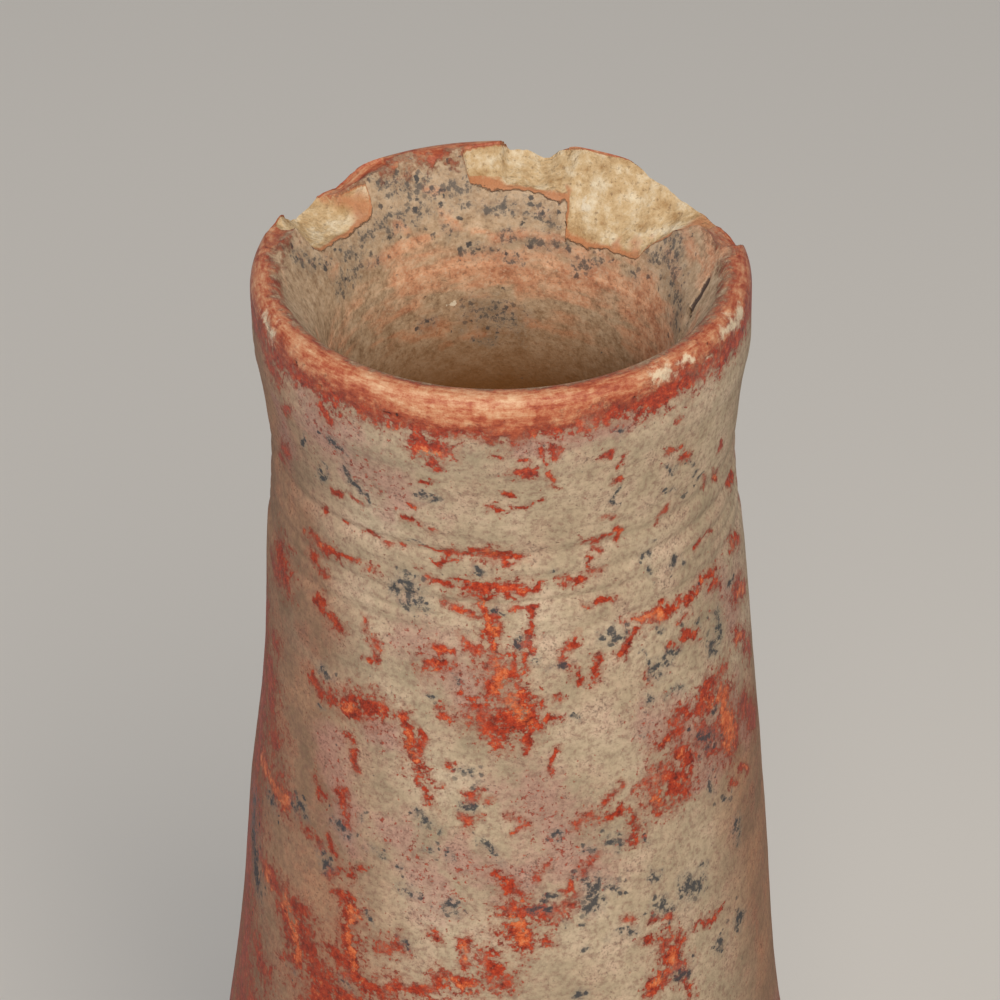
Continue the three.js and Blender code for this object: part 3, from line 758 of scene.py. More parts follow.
# Bare, cream-coloured spots on the lip, which on the crest are partly painted highlight, and the flakes
# lost from its left face
BARE_AND_LIT_STROKES = (
    (-71, 1.2, -66, 1.7, 1.2),
    (37, 0.9, 41, 1.3, 1.1),
    (44, 1.6, 48, 1.2, 0.6),
    (61.5, 1.1, 72, 1.7, 1.2),
    (-85, 3.2, -83, 11.0, 1.2),
    (52, 2.4, 55, 2.6, 0.25),
)
PIT_STROKES = (
    (-70.4, 1.3, -70.2, 1.3, 0.22),
    (-67.6, 1.5, -67.4, 1.5, 0.25),
    (-55.0, 2.7, -54.6, 2.9, 0.22),
    (-50.6, 1.4, -50.4, 1.4, 0.15),
    (-45.0, 3.4, -44.4, 3.4, 0.20),
    (-28.0, 3.0, -26.0, 3.3, 0.14),
    (-24.6, 3.5, -24.2, 3.4, 0.22),
    (31.0, 2.6, 31.4, 2.8, 0.16),
    (55.0, 0.8, 55.4, 0.8, 0.18),
)
# Where the crust is brown and the slip dark: brown crust, which on the neck's left and right sides is also
# painted shade
WARM_AND_SHADE_STROKES = (
    (-80, 14.0, -74, 110.0, 12.0),
    (-58, 52.0, -44, 104.0, 9.0),
    (-60, 28.0, -52, 40.0, 5.0),
    (72, 64.0, 80, 110.0, 7.0),
    (20, 150.0, 120, 220.0, 30.0),
    (150, 60.0, 170, 110.0, 10.0),
)
print(f"strokes: {len(MAUVE_STROKES)} mauve, {len(BARE_AND_LIT_STROKES)} bare, {len(PIT_STROKES)} pits")

# %% [markdown]
# ## Marks inside the mouth
# The inside was wiped with wet fingers and shows pink where the lime was rubbed thin. Its strokes are in
# degrees from the back. One white lime grain sits in the right break and one on the back wall, and a dark
# scar runs down the right wall.

# %% Strokes inside
PINK_STROKES = (
    (-40, 9.6, -26, 9.2, 0.7),
    (-36, 11.0, -30, 14.0, 1.2),
    (-30, 13.2, 40, 14.2, 1.0),
    (-10, 9.5, 20, 9.6, 0.3),
    (5, 16.6, 30, 17.2, 0.4),
    (30, 12.0, 52, 15.0, 1.0),
    (-67, 6.5, -62, 6.8, 0.6),
    (-22, 3.4, -18, 4.4, 0.3),
    (12, 6.4, 17, 6.7, 0.4),
    (-18, 7.0, -13, 7.6, 0.4),
    (-34, 6.4, -30, 7.0, 0.3),
    (64, 2.6, 84, 1.6, 1.3),
    (58, 5.0, 70, 6.6, 0.6),
    (74, 3.0, 80, 4.0, 0.4),
    (-75, 3.0, -72, 4.0, 0.2),
    (35, 9.9, 50, 9.3, 0.5),
    (-40, 21.0, -20, 22.0, 0.6),
    (-20, 24.2, -5, 23.2, 0.3),
    (10, 22.0, 34, 21.4, 0.5),
    (56, 11.0, 76, 18.0, 2.6),
    (58, 19.0, 82, 27.0, 2.6),
    (100, 6.0, 170, 12.0, 1.0),
    (190, 14.0, 260, 9.0, 1.0),
)
INNER_SOOT_STROKES = (
    (-34, 1.9, -22, 2.8, 1.5),
    (-24, 4.8, -10, 4.2, 1.6),
    (-46, 6.0, -26, 5.6, 1.3),
    (-58, 6.0, -50, 7.8, 1.4),
    (-18, 8.8, -15, 8.8, 0.9),
    (-4, 6.0, 18, 7.2, 1.0),
    (10, 7.4, 16, 7.0, 0.9),
    (-13, 11.2, 6, 12.4, 0.8),
    (26, 12.4, 36, 11.2, 0.9),
    (48, 10.8, 52, 10.6, 0.6),
    (56, 7.4, 66, 6.4, 1.0),
    (60, 4.6, 82, 11.0, 1.8),
    (-76, 3.0, -66, 6.0, 1.2),
    (-66, 9.0, -42, 9.4, 0.9),
    (0, 10.0, 22, 10.4, 0.8),
    (-10, 19.6, 6, 21.2, 1.6),
    (-8, 24.2, -3, 24.2, 0.7),
    (-28, 20.5, -24, 20.5, 0.6),
)
# Orange clay in the breaks
FIRED_STROKES = (
    (-46.0, 2.4, -41.5, 3.4, 1.3),
    (40, 8.8, 49, 8.2, 0.6),
    (56, 4.4, 62, 3.2, 1.0),
    (19.6, 5.0, 20.4, 8.8, 0.3),
)
LIME_STROKES = (
    (24.8, 5.8, 26.4, 5.8, 0.55),
    (-19.6, 17.9, -16.6, 18.0, 0.5),
)
SCAR_STROKES = (
    (88.0, 3.8, 90.0, 7.6, 1.3),
    (93.5, 7.4, 91.5, 11.0, 0.55),
)
print(f"strokes inside: {len(PINK_STROKES)} pink, {len(INNER_SOOT_STROKES)} of specks")

# %% [markdown]
# ## The sides that the photograph does not show
# The back of the neck and the whole body carry marks of the same kind. Noise with lumps of half a
# centimetre to two stands in for strokes there, drawn out downwards as slip runs, and it fades in where the
# photograph ends.

# %% Marks for the back and the body
# Where the noise fades in: degrees from the front, and mm below the crest
SEEN_TURN = (72.0, 92.0)
SEEN_DROP = (98.0, 114.0)
# For each kind of mark: size of the lumps in mm, how rare they are, their strength and the noise's offset
UNSEEN_MARKS = {
    "slip": (15.0, 0.27, 2.6, 0.0),
    "ember": (6.0, 0.46, 3.0, 300.0),
    "soot": (5.0, 0.52, 3.4, 600.0),
    "pink": (17.0, 0.08, 2.0, 8.0),
}
RUN_DOWN = np.array((1.0, 1.0, 0.62))
# Weights of the two finer noises, the second of which makes upright streaks
FINER, STREAKY = 0.5, 0.35
# How much lower the noise lies on the side that the photograph shows
HUSH = 2.0


def unseen_marks(points, name):
    size, rare, strength, offset = UNSEEN_MARKS[name]
    front, _, drop, _ = ring_place(points)
    unseen = np.maximum(ease(*SEEN_TURN, np.abs(front)), ease(*SEEN_DROP, drop))
    lumps = noise_at(points * RUN_DOWN + offset, size)
    finer = FINER * noise_at(points + offset, size / 3)
    lumps += finer + STREAKY * noise_at(points * LEVEL + offset, size / 6)
    return strength * (lumps - rare - HUSH * (1.0 - unseen))


print(f"unseen sides: {sorted(UNSEEN_MARKS)}")

# %% [markdown]
# ## Painting the strokes on the rings
# A stroke is a capsule on the unrolled wall. What is stored at each point is how far inside a stroke it
# lies: one on the stroke's line, zero at its edge and below zero outside. The material tears that edge with
# noise. The lip has a band of slip of its own. Pits, bare spots and the scar are also pressed into the
# surface, and lime grains stand proud of it. A wobble of about a millimetre bends the strokes first, as
# flakes never break off along straight lines.

# %% Store the fields
# Radius at which degrees are unrolled into mm
NECK_RADIUS = 30.0
# Lowest value that is stored, far from every stroke
FAR = -3.0
# The band of slip under the lip: how far down it reaches, its wave, the wave's length and its fade, in mm
LIP_BAND, BAND_WAVE, BAND_LENGTH, LIP_FADE = 5.2, 0.8, 6.0, 1.5
# Size and reach in mm of the wobble that bends the strokes out of their straight lines
WOBBLES = ((3.2, 1.0), (1.1, 0.55))
WOBBLE_SHIFT = np.array((70.0, -40.0, 90.0))
FIELDS = {
    "slip": (SLIP_STROKES, ()),
    "ember": (EMBER_STROKES, ()),
    "fired": ((), FIRED_STROKES),
    "soot": (SOOT_STROKES, INNER_SOOT_STROKES),
    "warm_and_shade": (WARM_AND_SHADE_STROKES, ()),
    "pink": (MAUVE_STROKES, PINK_STROKES),
    "pale": (BARE_AND_LIT_STROKES, ()),
    "lime": ((), LIME_STROKES),
    "dark": (PIT_STROKES, SCAR_STROKES),
}
# How deep a mark is pressed in, in mm, and between which values of its field
PRESSED = {"pale": 0.12, "lime": -0.15, "dark": 0.30}
PRESS_EDGE = (-0.3, 0.5)
# How far a wall faces outwards or to the axis where the outside turns into the inside
TURN_IN = (0.25, -0.2)


def stroke_field(strokes, turns, drops):
    """How far inside a stroke each point lies: one on its line, zero at its edge, below zero outside."""
    field = np.full(len(turns), FAR)
    arc = math.radians(NECK_RADIUS)
    for turn0, drop0, turn1, drop1, half in strokes:
        run, fall = (turn1 - turn0) * arc, drop1 - drop0
        x = (np.mod(turns - turn0 + 180.0, 360.0) - 180.0) * arc
        y = drops - drop0
        share = np.clip((x * run + y * fall) / max(run * run + fall * fall, TINY), 0.0, 1.0)
        field = np.maximum(field, 1.0 - np.hypot(x - share * run, y - share * fall) / half)
    return field


def store(piece, name, values):
    attribute = piece.data.attributes.new(name, 'FLOAT', 'POINT')
    attribute.data.foreach_set("value", np.asarray(values, np.float32))


def paint_fields(piece, outward, depth):
    outer_face = (outward > 0.0) & (depth < 0.0)
    points = read_points(piece)
    front, behind, drop, _ = ring_place(points)
    aside = sum(reach * noise_at(points, size) for size, reach in WOBBLES) / math.radians(NECK_RADIUS)
    front, behind = front + aside, behind + aside
    drop = drop + sum(reach * noise_at(points + WOBBLE_SHIFT, size) for size, reach in WOBBLES)
    for name, (outer, inner) in FIELDS.items():
        outside = stroke_field(outer, front, drop)
        if name in UNSEEN_MARKS:
            outside = np.maximum(outside, unseen_marks(points, name))
        if name == "slip":
            band = (LIP_BAND + BAND_WAVE * noise_at(points * LEVEL, BAND_LENGTH) - drop) / LIP_FADE
            outside = np.maximum(outside, band)
        field = np.where(outer_face, outside, stroke_field(inner, behind, drop))
        field = np.clip(field, FAR, 1.0)
        if name in PRESSED:
            press = PRESSED[name] * ease(*PRESS_EDGE, field)
            points -= read_normals(piece) * press[:, None]
        store(piece, name, field)
    store(piece, "inside", ease(*TURN_IN, outward))
    write_points(piece, points)


for name, piece in pieces.items():
    depth = break_depth.get(name, np.full(len(piece.data.vertices), UNBROKEN))
    paint_fields(piece, facing[name], depth)
    store(piece, "break_depth", depth)
print(f"fields: {sorted(FIELDS)} on every ring")

# %% [markdown]
# ## Wear of the lip
# Use has rubbed the lip, furthest down at the front. How far down is written round the rim, and each point
# stores how far above that line it lies. The scratches run round the rim, so the points also store a place
# that changes slowly round the rim and fast across it.

# %% Store the wear of the lip
# How far down the outside of the lip is worn, by degrees from the front, and how far down the inside, in mm
LIP_WEAR = (
    (-180, 2.6), (-90, 2.4), (-60, 2.3), (-42, 3.2), (-30, 4.2), (5, 4.2),
    (22, 2.8), (45, 1.5), (62, 2.3), (90, 2.0), (180, 2.6),
)
MOUTH_WEAR = 0.35
# Length of the wear's waves round the rim in mm, and how the lip faces where mouth and outside meet
WEAR_LENGTH = 7.0
CREST_FACING = (-0.5, 0.5)
# A smaller radius draws the scratches out, and the slope sets them side by side on the level crest
STREAK_RADIUS = 10.0
STREAK_SLOPE = 1.7


def paint_lip(piece, outward, drop):
    """How worn the lip is, and a place whose long lines run round the rim."""
    points = read_points(piece)
    front = ring_place(points)[0]
    turns, depths = np.array(LIP_WEAR).T
    outer = ease(*CREST_FACING, outward)
    worn = MOUTH_WEAR + (np.interp(front, turns, depths) - MOUTH_WEAR) * outer
    worn += noise_at(points * LEVEL, WEAR_LENGTH) - drop
    store(piece, "wear", worn)
    radius = np.hypot(points[:, 0], points[:, 1])
    round_rim = points[:, :2] * (STREAK_RADIUS / radius)[:, None]
    streak = np.column_stack((round_rim, drop + STREAK_SLOPE * radius))
    attribute = piece.data.attributes.new("streak", 'FLOAT_VECTOR', 'POINT')
    attribute.data.foreach_set("vector", streak.astype(np.float32).ravel())


paint_lip(pieces["rim"], facing["rim"], rim_drop)
print(f"lip wear: {len(LIP_WEAR)} places round the rim")

# %% [markdown]
# ## Lime crust
# The crust is a thin, hard lime deposit from the ground. It is matt, buff to grey, blotchy over a
# centimetre and tinted olive and mauve over a few millimetres. It is full of dark pinpricks, and the
# turning marks show through it as fine level lines. Each coat in this lesson is a colour, a roughness and a
# height in millimetres, so that coats can be laid on one another. The scale of a noise is one over the size
# of its lumps in millimetres.

# %% The crust coat
# Sockets of the mix node: factor, first and second number, first and second colour
FACTOR, NUMBER_A, NUMBER_B, COLOUR_A, COLOUR_B = 0, 2, 3, 6, 7
CRUST_ROUGHNESS = 0.85
# Sizes of the blotches, tints, mottling and grit in mm, and how the level lines are squeezed
BLOTCH, TINT, MOTTLE, GRIT = 9.0, 4.5, 0.8, 0.3
LEVEL_LINES = (0.16, 0.16, 1.5)


def crust_coat(tree, mm, fields):
    # Buff to grey, and brown where the crust is warm, which on the neck's sides is also painted shade
    blotch = add(tree, "TexNoise", {"Vector": mm, "Scale": 1 / BLOTCH, "Detail": 7.0, "Roughness": 0.62})
    pale = add(tree, "ValToRGB", {"Fac": blotch},
               stops=((0.32, "#93826b"), (0.68, "#c0af96"), (0.50, "#ac9980")))
    tan = add(tree, "ValToRGB", {"Fac": blotch},
              stops=((0.32, "#69402b"), (0.68, "#a16d49"), (0.50, "#86563b")))
    warm_and_shade_share = add(tree, "MapRange", {"Value": fields["warm_and_shade"], "From Min": -1.0, "From Max": 0.4,
                                    "To Max": 0.9})
    body = add(tree, "Mix", {FACTOR: warm_and_shade_share, COLOUR_A: pale, COLOUR_B: tan}, data_type='RGBA')
    # Olive and mauve tints, and a mauve wash where the crust is thin
    tint = add(tree, "TexNoise", {"Vector": mm, "Scale": 1 / TINT, "Detail": 8.0, "Roughness": 0.72})
    hue = add(tree, "ValToRGB", {"Fac": tint},
              stops=((0.36, "#948870"), (0.64, "#a97d6d"), (0.50, "#a6927a")))
    tinted = add(tree, "Mix", {FACTOR: 0.32, COLOUR_A: body, COLOUR_B: hue}, data_type='RGBA')
    uneven = add(tree, "Math", {0: tint, 1: 4.0, 2: fields["pink"]}, operation='MULTIPLY_ADD')
    thin = add(tree, "MapRange", {"Value": uneven, "From Min": 1.3, "From Max": 3.0, "To Max": 0.6},
               interpolation_type='SMOOTHSTEP')
    rosy = add(tree, "Mix", {FACTOR: thin, COLOUR_A: tinted, COLOUR_B: paint("#a0766c")}, data_type='RGBA')
    # Level turning lines, mottling and brown dust
    level = add(tree, "Mapping", {"Vector": mm, "Scale": LEVEL_LINES})
    lines = add(tree, "TexNoise", {"Vector": level, "Scale": 1.0, "Detail": 3.0})
    mottle = add(tree, "TexNoise", {"Vector": mm, "Scale": 1 / MOTTLE, "Detail": 4.0, "Roughness": 0.7})
    both = add(tree, "Math", {0: lines, 1: 0.35, 2: mottle}, operation='MULTIPLY_ADD')
    dust = add(tree, "MapRange", {"Value": mottle, "From Min": 0.50, "From Max": 0.36, "To Max": 0.45})
    dusty = add(tree, "Mix", {FACTOR: dust, COLOUR_A: rosy, COLOUR_B: paint("#8f6a5b")}, data_type='RGBA')
    shade = add(tree, "MapRange", {"Value": both, "From Min": 0.50, "From Max": 0.85, "To Min": 0.84,
                                   "To Max": 1.20})
    # Dark pinpricks, which gather in the mauve tints
    grit = add(tree, "TexNoise", {"Vector": mm, "Scale": 1 / GRIT, "Detail": 2.0})
    strewn = add(tree, "Math", {0: tint, 1: 0.7, 2: grit}, operation='MULTIPLY_ADD')
    pits = add(tree, "MapRange", {"Value": strewn, "From Min": 0.96, "From Max": 1.10, "To Min": 1.0,
                                  "To Max": 0.55})
    gritty = add(tree, "Math", {0: shade, 1: pits}, operation='MULTIPLY')
    colour = add(tree, "VectorMath", {0: dusty, "Scale": gritty}, operation='SCALE')
    height = add(tree, "Math", {0: both, 1: 0.06}, operation='MULTIPLY')
    return colour, CRUST_ROUGHNESS, height


print("coat: lime crust")

# %% [markdown]
# ## Red slip
# Slip is liquid clay rich in iron. Burnished and fired it is brick red with a low sheen. Where the crust
# has just flaked off, the red is bright or even orange, and at the torn edge it is dark. Crumbs of crust
# stay in it, small flecks of it show all round each patch, and there the crust is thin and pink. Small
# marks are often faded. On the turned collar the tears are drawn out level.

# %% The torn edge of the slip
# How far the two noises move the edge of a patch, in half widths of its stroke, and their sizes in mm
TEAR, TEAR_SIZE = 5.0, 1.8
CRUMBLE, FLAKE_SIZE = 4.0, 0.7
# How the level tears are squeezed, and the drops between which they fade in and out again, in mm
LEVEL_TEARS = (0.15, 0.15, 0.9)
TURNED_TOP = (17.0, 20.0)
TURNED_FOOT = (28.5, 32.0)


def slip_edge(tree, mm, fields):
    """How far inside a torn patch a point lies, and the flakes that crumble its edge."""
    tear = add(tree, "TexNoise", {"Vector": mm, "Scale": 1 / TEAR_SIZE, "Detail": 8.0, "Roughness": 0.78})
    flat = add(tree, "Mapping", {"Vector": mm, "Scale": LEVEL_TEARS})
    drawn = add(tree, "TexNoise", {"Vector": flat, "Scale": 1.0, "Detail": 8.0, "Roughness": 0.78})
    height = add(tree, "SeparateXYZ", {"Vector": mm})
    below = add(tree, "MapRange", {"Value": height.outputs["Z"], "From Min": CREST - TURNED_TOP[0],
                                   "From Max": CREST - TURNED_TOP[1], "To Max": 0.7})
    turned = add(tree, "MapRange", {"Value": height.outputs["Z"], "From Min": CREST - TURNED_FOOT[1],
                                    "From Max": CREST - TURNED_FOOT[0], "To Max": below})
    mixed = add(tree, "Mix", {FACTOR: turned, NUMBER_A: tear, NUMBER_B: drawn})
    torn = add(tree, "Math", {0: mixed, 1: TEAR, 2: fields["slip"]}, operation='MULTIPLY_ADD')
    flake = add(tree, "TexNoise", {"Vector": mm, "Scale": 1 / FLAKE_SIZE, "Detail": 4.0, "Roughness": 0.7})
    crumbled = add(tree, "Math", {0: flake, 1: CRUMBLE, 2: torn}, operation='MULTIPLY_ADD')
    level = add(tree, "Math", {0: crumbled, 1: (TEAR + CRUMBLE) / 2}, operation='SUBTRACT')
    return level, flake


print("edge: torn slip")

# %% [markdown]
# ## Where slip shows, and its red
# One mask holds the patches with their crumbs, and the flecks round them. A second one holds the haze of
# thin crust round a patch. The red goes from dark to brick in grains of a millimetre, with orange cores.

# %% The slip coat and its masks
SLIP_ROUGHNESS = 0.5
SLIP_HEIGHT = 0.0
# Sizes of the faded areas and of the red's grains in mm
FADE, RED_GRAIN = 4.0, 1.0


def slip_masks(tree, mm, fields, level, flake):
    fade = add(tree, "TexNoise", {"Vector": mm, "Scale": 1 / FADE, "Detail": 3.0})
    fresh = add(tree, "Math", {0: level, 1: 0.13, 2: fade}, operation='MULTIPLY_ADD')
    strength = add(tree, "MapRange", {"Value": fresh, "From Min": 0.42, "From Max": 0.60, "To Min": 0.45})
    patch = add(tree, "MapRange", {"Value": level, "From Min": -0.15, "From Max": 0.45, "To Max": strength},
                interpolation_type='SMOOTHSTEP')
    haze = add(tree, "MapRange", {"Value": level, "From Min": -1.5, "From Max": 0.2, "To Max": 0.45},
               interpolation_type='SMOOTHSTEP')
    crumbs = add(tree, "MapRange", {"Value": flake, "From Min": 0.34, "From Max": 0.40, "To Min": 0.4},
                 interpolation_type='SMOOTHSTEP')
    crumbly = add(tree, "Math", {0: patch, 1: crumbs}, operation='MULTIPLY')
    washed = add(tree, "Math", {0: fields["pink"], 1: 0.7, 2: -0.6}, operation='MULTIPLY_ADD')
    close = add(tree, "Math", {0: level, 1: washed}, operation='MAXIMUM')
    closer = add(tree, "Math", {0: close, 1: -1.3}, operation='MAXIMUM')
    near = add(tree, "Math", {0: closer, 1: 0.085, 2: flake}, operation='MULTIPLY_ADD')
    fleck = add(tree, "MapRange", {"Value": near, "From Min": 0.545, "From Max": 0.62, "To Max": 0.85},
                interpolation_type='SMOOTHSTEP')
    mask = add(tree, "Math", {0: crumbly, 1: fleck}, operation='MAXIMUM')
    return mask, haze


def slip_colour(tree, mm, fields, level):
    grain = add(tree, "TexNoise", {"Vector": mm, "Scale": 1 / RED_GRAIN, "Detail": 6.0, "Roughness": 0.8})
    red = add(tree, "ValToRGB", {"Fac": grain},
              stops=((0.36, "#571e17"), (0.66, "#c6764a"), (0.44, "#852a17"), (0.53, "#a5371d"),
                     (0.60, "#bb4c28")))
    # Painted shade: the red is darkened where the crust is warm, which on the neck's sides stands for shade
    shadow = add(tree, "MapRange", {"Value": fields["warm_and_shade"], "From Min": -1.0, "From Max": 0.6,
                                    "To Max": 0.3})
    dark_red = add(tree, "Mix", {FACTOR: shadow, COLOUR_A: red, COLOUR_B: paint("#6e2a1b")},
                   data_type='RGBA')
    ragged = add(tree, "Math", {0: grain, 1: 3.6, 2: -1.8}, operation='MULTIPLY_ADD')
    glow = add(tree, "Math", {0: ragged, 1: fields["ember"]}, operation='ADD')
    glowing = add(tree, "MapRange", {"Value": glow, "From Min": -0.1, "From Max": 1.0, "To Max": 0.85},
                  interpolation_type='SMOOTHSTEP')
    ember = add(tree, "ValToRGB", {"Fac": grain},
                stops=((0.36, "#b04720"), (0.66, "#dc8c5a"), (0.50, "#c96132")))
    bright = add(tree, "Mix", {FACTOR: glowing, COLOUR_A: dark_red, COLOUR_B: ember}, data_type='RGBA')
    edge = add(tree, "MapRange", {"Value": level, "From Min": 0.40, "From Max": 0.05, "To Max": 0.22},
               interpolation_type='SMOOTHSTEP')
    colour = add(tree, "Mix", {FACTOR: edge, COLOUR_A: bright, COLOUR_B: paint("#70322a")},
                 data_type='RGBA')
    return colour


def slip_coat(tree, mm, fields):
    level, flake = slip_edge(tree, mm, fields)
    mask, haze = slip_masks(tree, mm, fields, level, flake)
    colour = slip_colour(tree, mm, fields, level)
    return (colour, SLIP_ROUGHNESS, SLIP_HEIGHT), mask, haze


print("coat: red slip")

# %% [markdown]
# ## Specks
# Manganese grows in the ground as blue-black dots, of less than a millimetre across, and as soft smudges of
# a millimetre or two. Voronoi cells give the dots: each cell has a random number, and only where that
# number is small enough does the cell hold a dot. Dots crowd together round the smudges. Inside the mouth
# both are fainter.

# %% The speck masks
# Sizes of the ragged smudges, of the areas with more dots and of a dot's cell in mm
SMUDGE, SPREAD, CELL = 0.9, 7.0, 1.1
# Radius of the largest dots as a share of the cell, and how far the cells are bent in mm
LARGEST_DOT = 0.38
BEND = (1.6, 1.6, 1.6)


def speck_masks(tree, mm, fields):
    rough = add(tree, "TexNoise", {"Vector": mm, "Scale": 1 / SMUDGE, "Detail": 6.0, "Roughness": 0.75})
    sparse = add(tree, "MapRange", {"Value": fields["inside"], "To Min": -3.2, "To Max": -3.3})
    ragged = add(tree, "Math", {0: rough, 1: 6.0, 2: sparse}, operation='MULTIPLY_ADD')
    reach = add(tree, "MapRange", {"Value": fields["inside"], "To Min": 1.0, "To Max": 0.6})
    soft = add(tree, "MapRange", {"Value": fields["inside"], "To Min": 0.75, "To Max": 0.6})
    level = add(tree, "Math", {0: fields["soot"], 1: reach, 2: ragged}, operation='MULTIPLY_ADD')
    faint = add(tree, "MapRange", {"Value": fields["inside"], "To Min": 0.9, "To Max": 0.75})
    smudge = add(tree, "MapRange", {"Value": level, "From Max": soft, "To Max": faint},
                 interpolation_type='SMOOTHSTEP')
    bent = add(tree, "VectorMath", {0: rough.outputs["Color"], 1: BEND, 2: mm}, operation='MULTIPLY_ADD')
    cells = add(tree, "TexVoronoi", {"Vector": bent, "Scale": 1 / CELL})
    number = add(tree, "SeparateColor", {"Color": cells.outputs["Color"]})
    spread = add(tree, "TexNoise", {"Vector": mm, "Scale": 1 / SPREAD, "Detail": 3.0})
    crowd = add(tree, "MapRange", {"Value": fields["soot"], "From Min": -2.6, "From Max": 0.3,
                                   "To Min": -0.22, "To Max": 0.35})
    amount = add(tree, "Math", {0: spread, 1: 0.7, 2: crowd}, operation='MULTIPLY_ADD')
    size = add(tree, "Math", {0: amount, 1: number.outputs["Red"]}, operation='SUBTRACT')
    radius = add(tree, "Math", {0: size, 1: LARGEST_DOT}, operation='MINIMUM')
    inside = add(tree, "Math", {0: radius, 1: cells.outputs["Distance"]}, operation='SUBTRACT')
    strength = add(tree, "MapRange", {"Value": number.outputs["Green"], "To Min": 0.5, "To Max": 0.9})
    dot = add(tree, "MapRange", {"Value": inside, "From Min": -0.05, "From Max": 0.11, "To Max": strength},
              interpolation_type='SMOOTHSTEP')
    mask = add(tree, "Math", {0: dot, 1: smudge}, operation='MAXIMUM')
    stain = add(tree, "MapRange", {"Value": level, "From Min": -1.2, "From Max": 0.3, "To Max": 0.3},
                interpolation_type='SMOOTHSTEP')
    return mask, stain


print("masks: specks and their stain")

# %% [markdown]
# ## The wiped inside
# Fingers and water left level bands of buff and pink inside the mouth, so this noise is squeezed along Z.
# The pink is strongest from one to two centimetres down, and deep in the neck the clay turns dark brown:
# partly the clay's own colour and partly painted shade of the narrow neck. Flecks of dirt and lime lie on
# it.

# %% The inside coat
INSIDE_ROUGHNESS = 0.8
# How the bands are squeezed, and the sizes of the clay's grain and of the flecks in mm
LEVEL_BANDS = (0.22, 0.22, 0.62)
WIPED_GRAIN, FLECK = 1.8, 0.55
# Drops between which the pink comes in, goes out again and the clay turns dark brown with painted shade, in
# mm
PINK_TOP = (7.5, 12.0)
PINK_FOOT = (17.0, 27.0)
BROWN_AND_SHADE_DEPTH = (16.0, 31.0)


def inside_coat(tree, mm, fields):
    squeeze = add(tree, "Mapping", {"Vector": mm, "Scale": LEVEL_BANDS})
    bands = add(tree, "TexNoise", {"Vector": squeeze, "Scale": 1.0, "Detail": 3.0, "Roughness": 0.5})
    grain = add(tree, "TexNoise", {"Vector": mm, "Scale": 1 / WIPED_GRAIN, "Detail": 7.0,
                                   "Roughness": 0.72})
    buff = add(tree, "ValToRGB", {"Fac": grain},
               stops=((0.32, "#917559"), (0.68, "#d0b799"), (0.50, "#b69b7d")))
    rose = add(tree, "ValToRGB", {"Fac": grain},
               stops=((0.32, "#aa684a"), (0.68, "#e4b793"), (0.50, "#ce9470")))
    # Pink where it was placed, and in bands between two depths
    drop = add(tree, "SeparateXYZ", {"Vector": mm})
    top = add(tree, "MapRange", {"Value": drop.outputs["Z"], "From Min": CREST - PINK_TOP[0],
                                 "From Max": CREST - PINK_TOP[1], "To Max": 1.6})
    foot = add(tree, "MapRange", {"Value": drop.outputs["Z"], "From Min": CREST - PINK_FOOT[0],
                                  "From Max": CREST - PINK_FOOT[1], "To Max": -2.0})
    share = add(tree, "Math", {0: top, 1: foot}, operation='ADD')
    wavy = add(tree, "Math", {0: bands, 1: 9.0, 2: -7.9}, operation='MULTIPLY_ADD')
    crumbly = add(tree, "Math", {0: grain, 1: 5.0, 2: wavy}, operation='MULTIPLY_ADD')
    known = add(tree, "Math", {0: fields["pink"], 1: -2.0}, operation='MAXIMUM')
    placed = add(tree, "Math", {0: known, 1: share}, operation='ADD')
    level = add(tree, "Math", {0: placed, 1: crumbly}, operation='ADD')
    pink = add(tree, "MapRange", {"Value": level, "From Min": -2.4, "From Max": 1.2, "To Max": 0.9},
               interpolation_type='SMOOTHSTEP')
    upper = add(tree, "Mix", {FACTOR: pink, COLOUR_A: buff, COLOUR_B: rose}, data_type='RGBA')
    fleck = add(tree, "TexNoise", {"Vector": mm, "Scale": 1 / FLECK, "Detail": 4.0, "Roughness": 0.7})
    dirt = add(tree, "MapRange", {"Value": fleck, "From Min": 0.53, "From Max": 0.66, "To Max": 0.5})
    dirty = add(tree, "Mix", {FACTOR: dirt, COLOUR_A: upper, COLOUR_B: paint("#65503f")}, data_type='RGBA')
    lime = add(tree, "MapRange", {"Value": fleck, "From Min": 0.47, "From Max": 0.34, "To Max": 0.5})
    flecked = add(tree, "Mix", {FACTOR: lime, COLOUR_A: dirty, COLOUR_B: paint("#d6bda0")},
                  data_type='RGBA')
    # Painted shade: deeper in the neck the colour is mixed towards dark brown, the clay's own brown
    # darkened for the shade inside
    deep_brown_and_shade = add(tree, "MapRange", {"Value": drop.outputs["Z"], "From Min": CREST - BROWN_AND_SHADE_DEPTH[0],
                                  "From Max": CREST - BROWN_AND_SHADE_DEPTH[1], "To Max": 0.94})
    colour = add(tree, "Mix", {FACTOR: deep_brown_and_shade, COLOUR_A: flecked, COLOUR_B: paint("#774a20")},
                 data_type='RGBA')
    height = add(tree, "Math", {0: fleck, 1: -0.09}, operation='MULTIPLY')
    return colour, INSIDE_ROUGHNESS, height


print("coat: wiped inside")

# %% [markdown]
# ## Worn lip
# The lip's slip is rubbed by use from red to orange and peach, in blotches and in streaks that run round
# the rim, and it shines a little. It is palest on the crest, where it is worn most and where the paler tone
# is also a painted highlight of the top face.

# %% The lip coat
LIP_ROUGHNESS = 0.36
# Share of the grain in the streaks, and the sizes of grain, blotches and torn edge in mm
GRAIN_SHARE = 0.45
LIP_GRAIN, LIP_BLOTCH, LIP_TEAR = 1.1, 3.6, 1.9


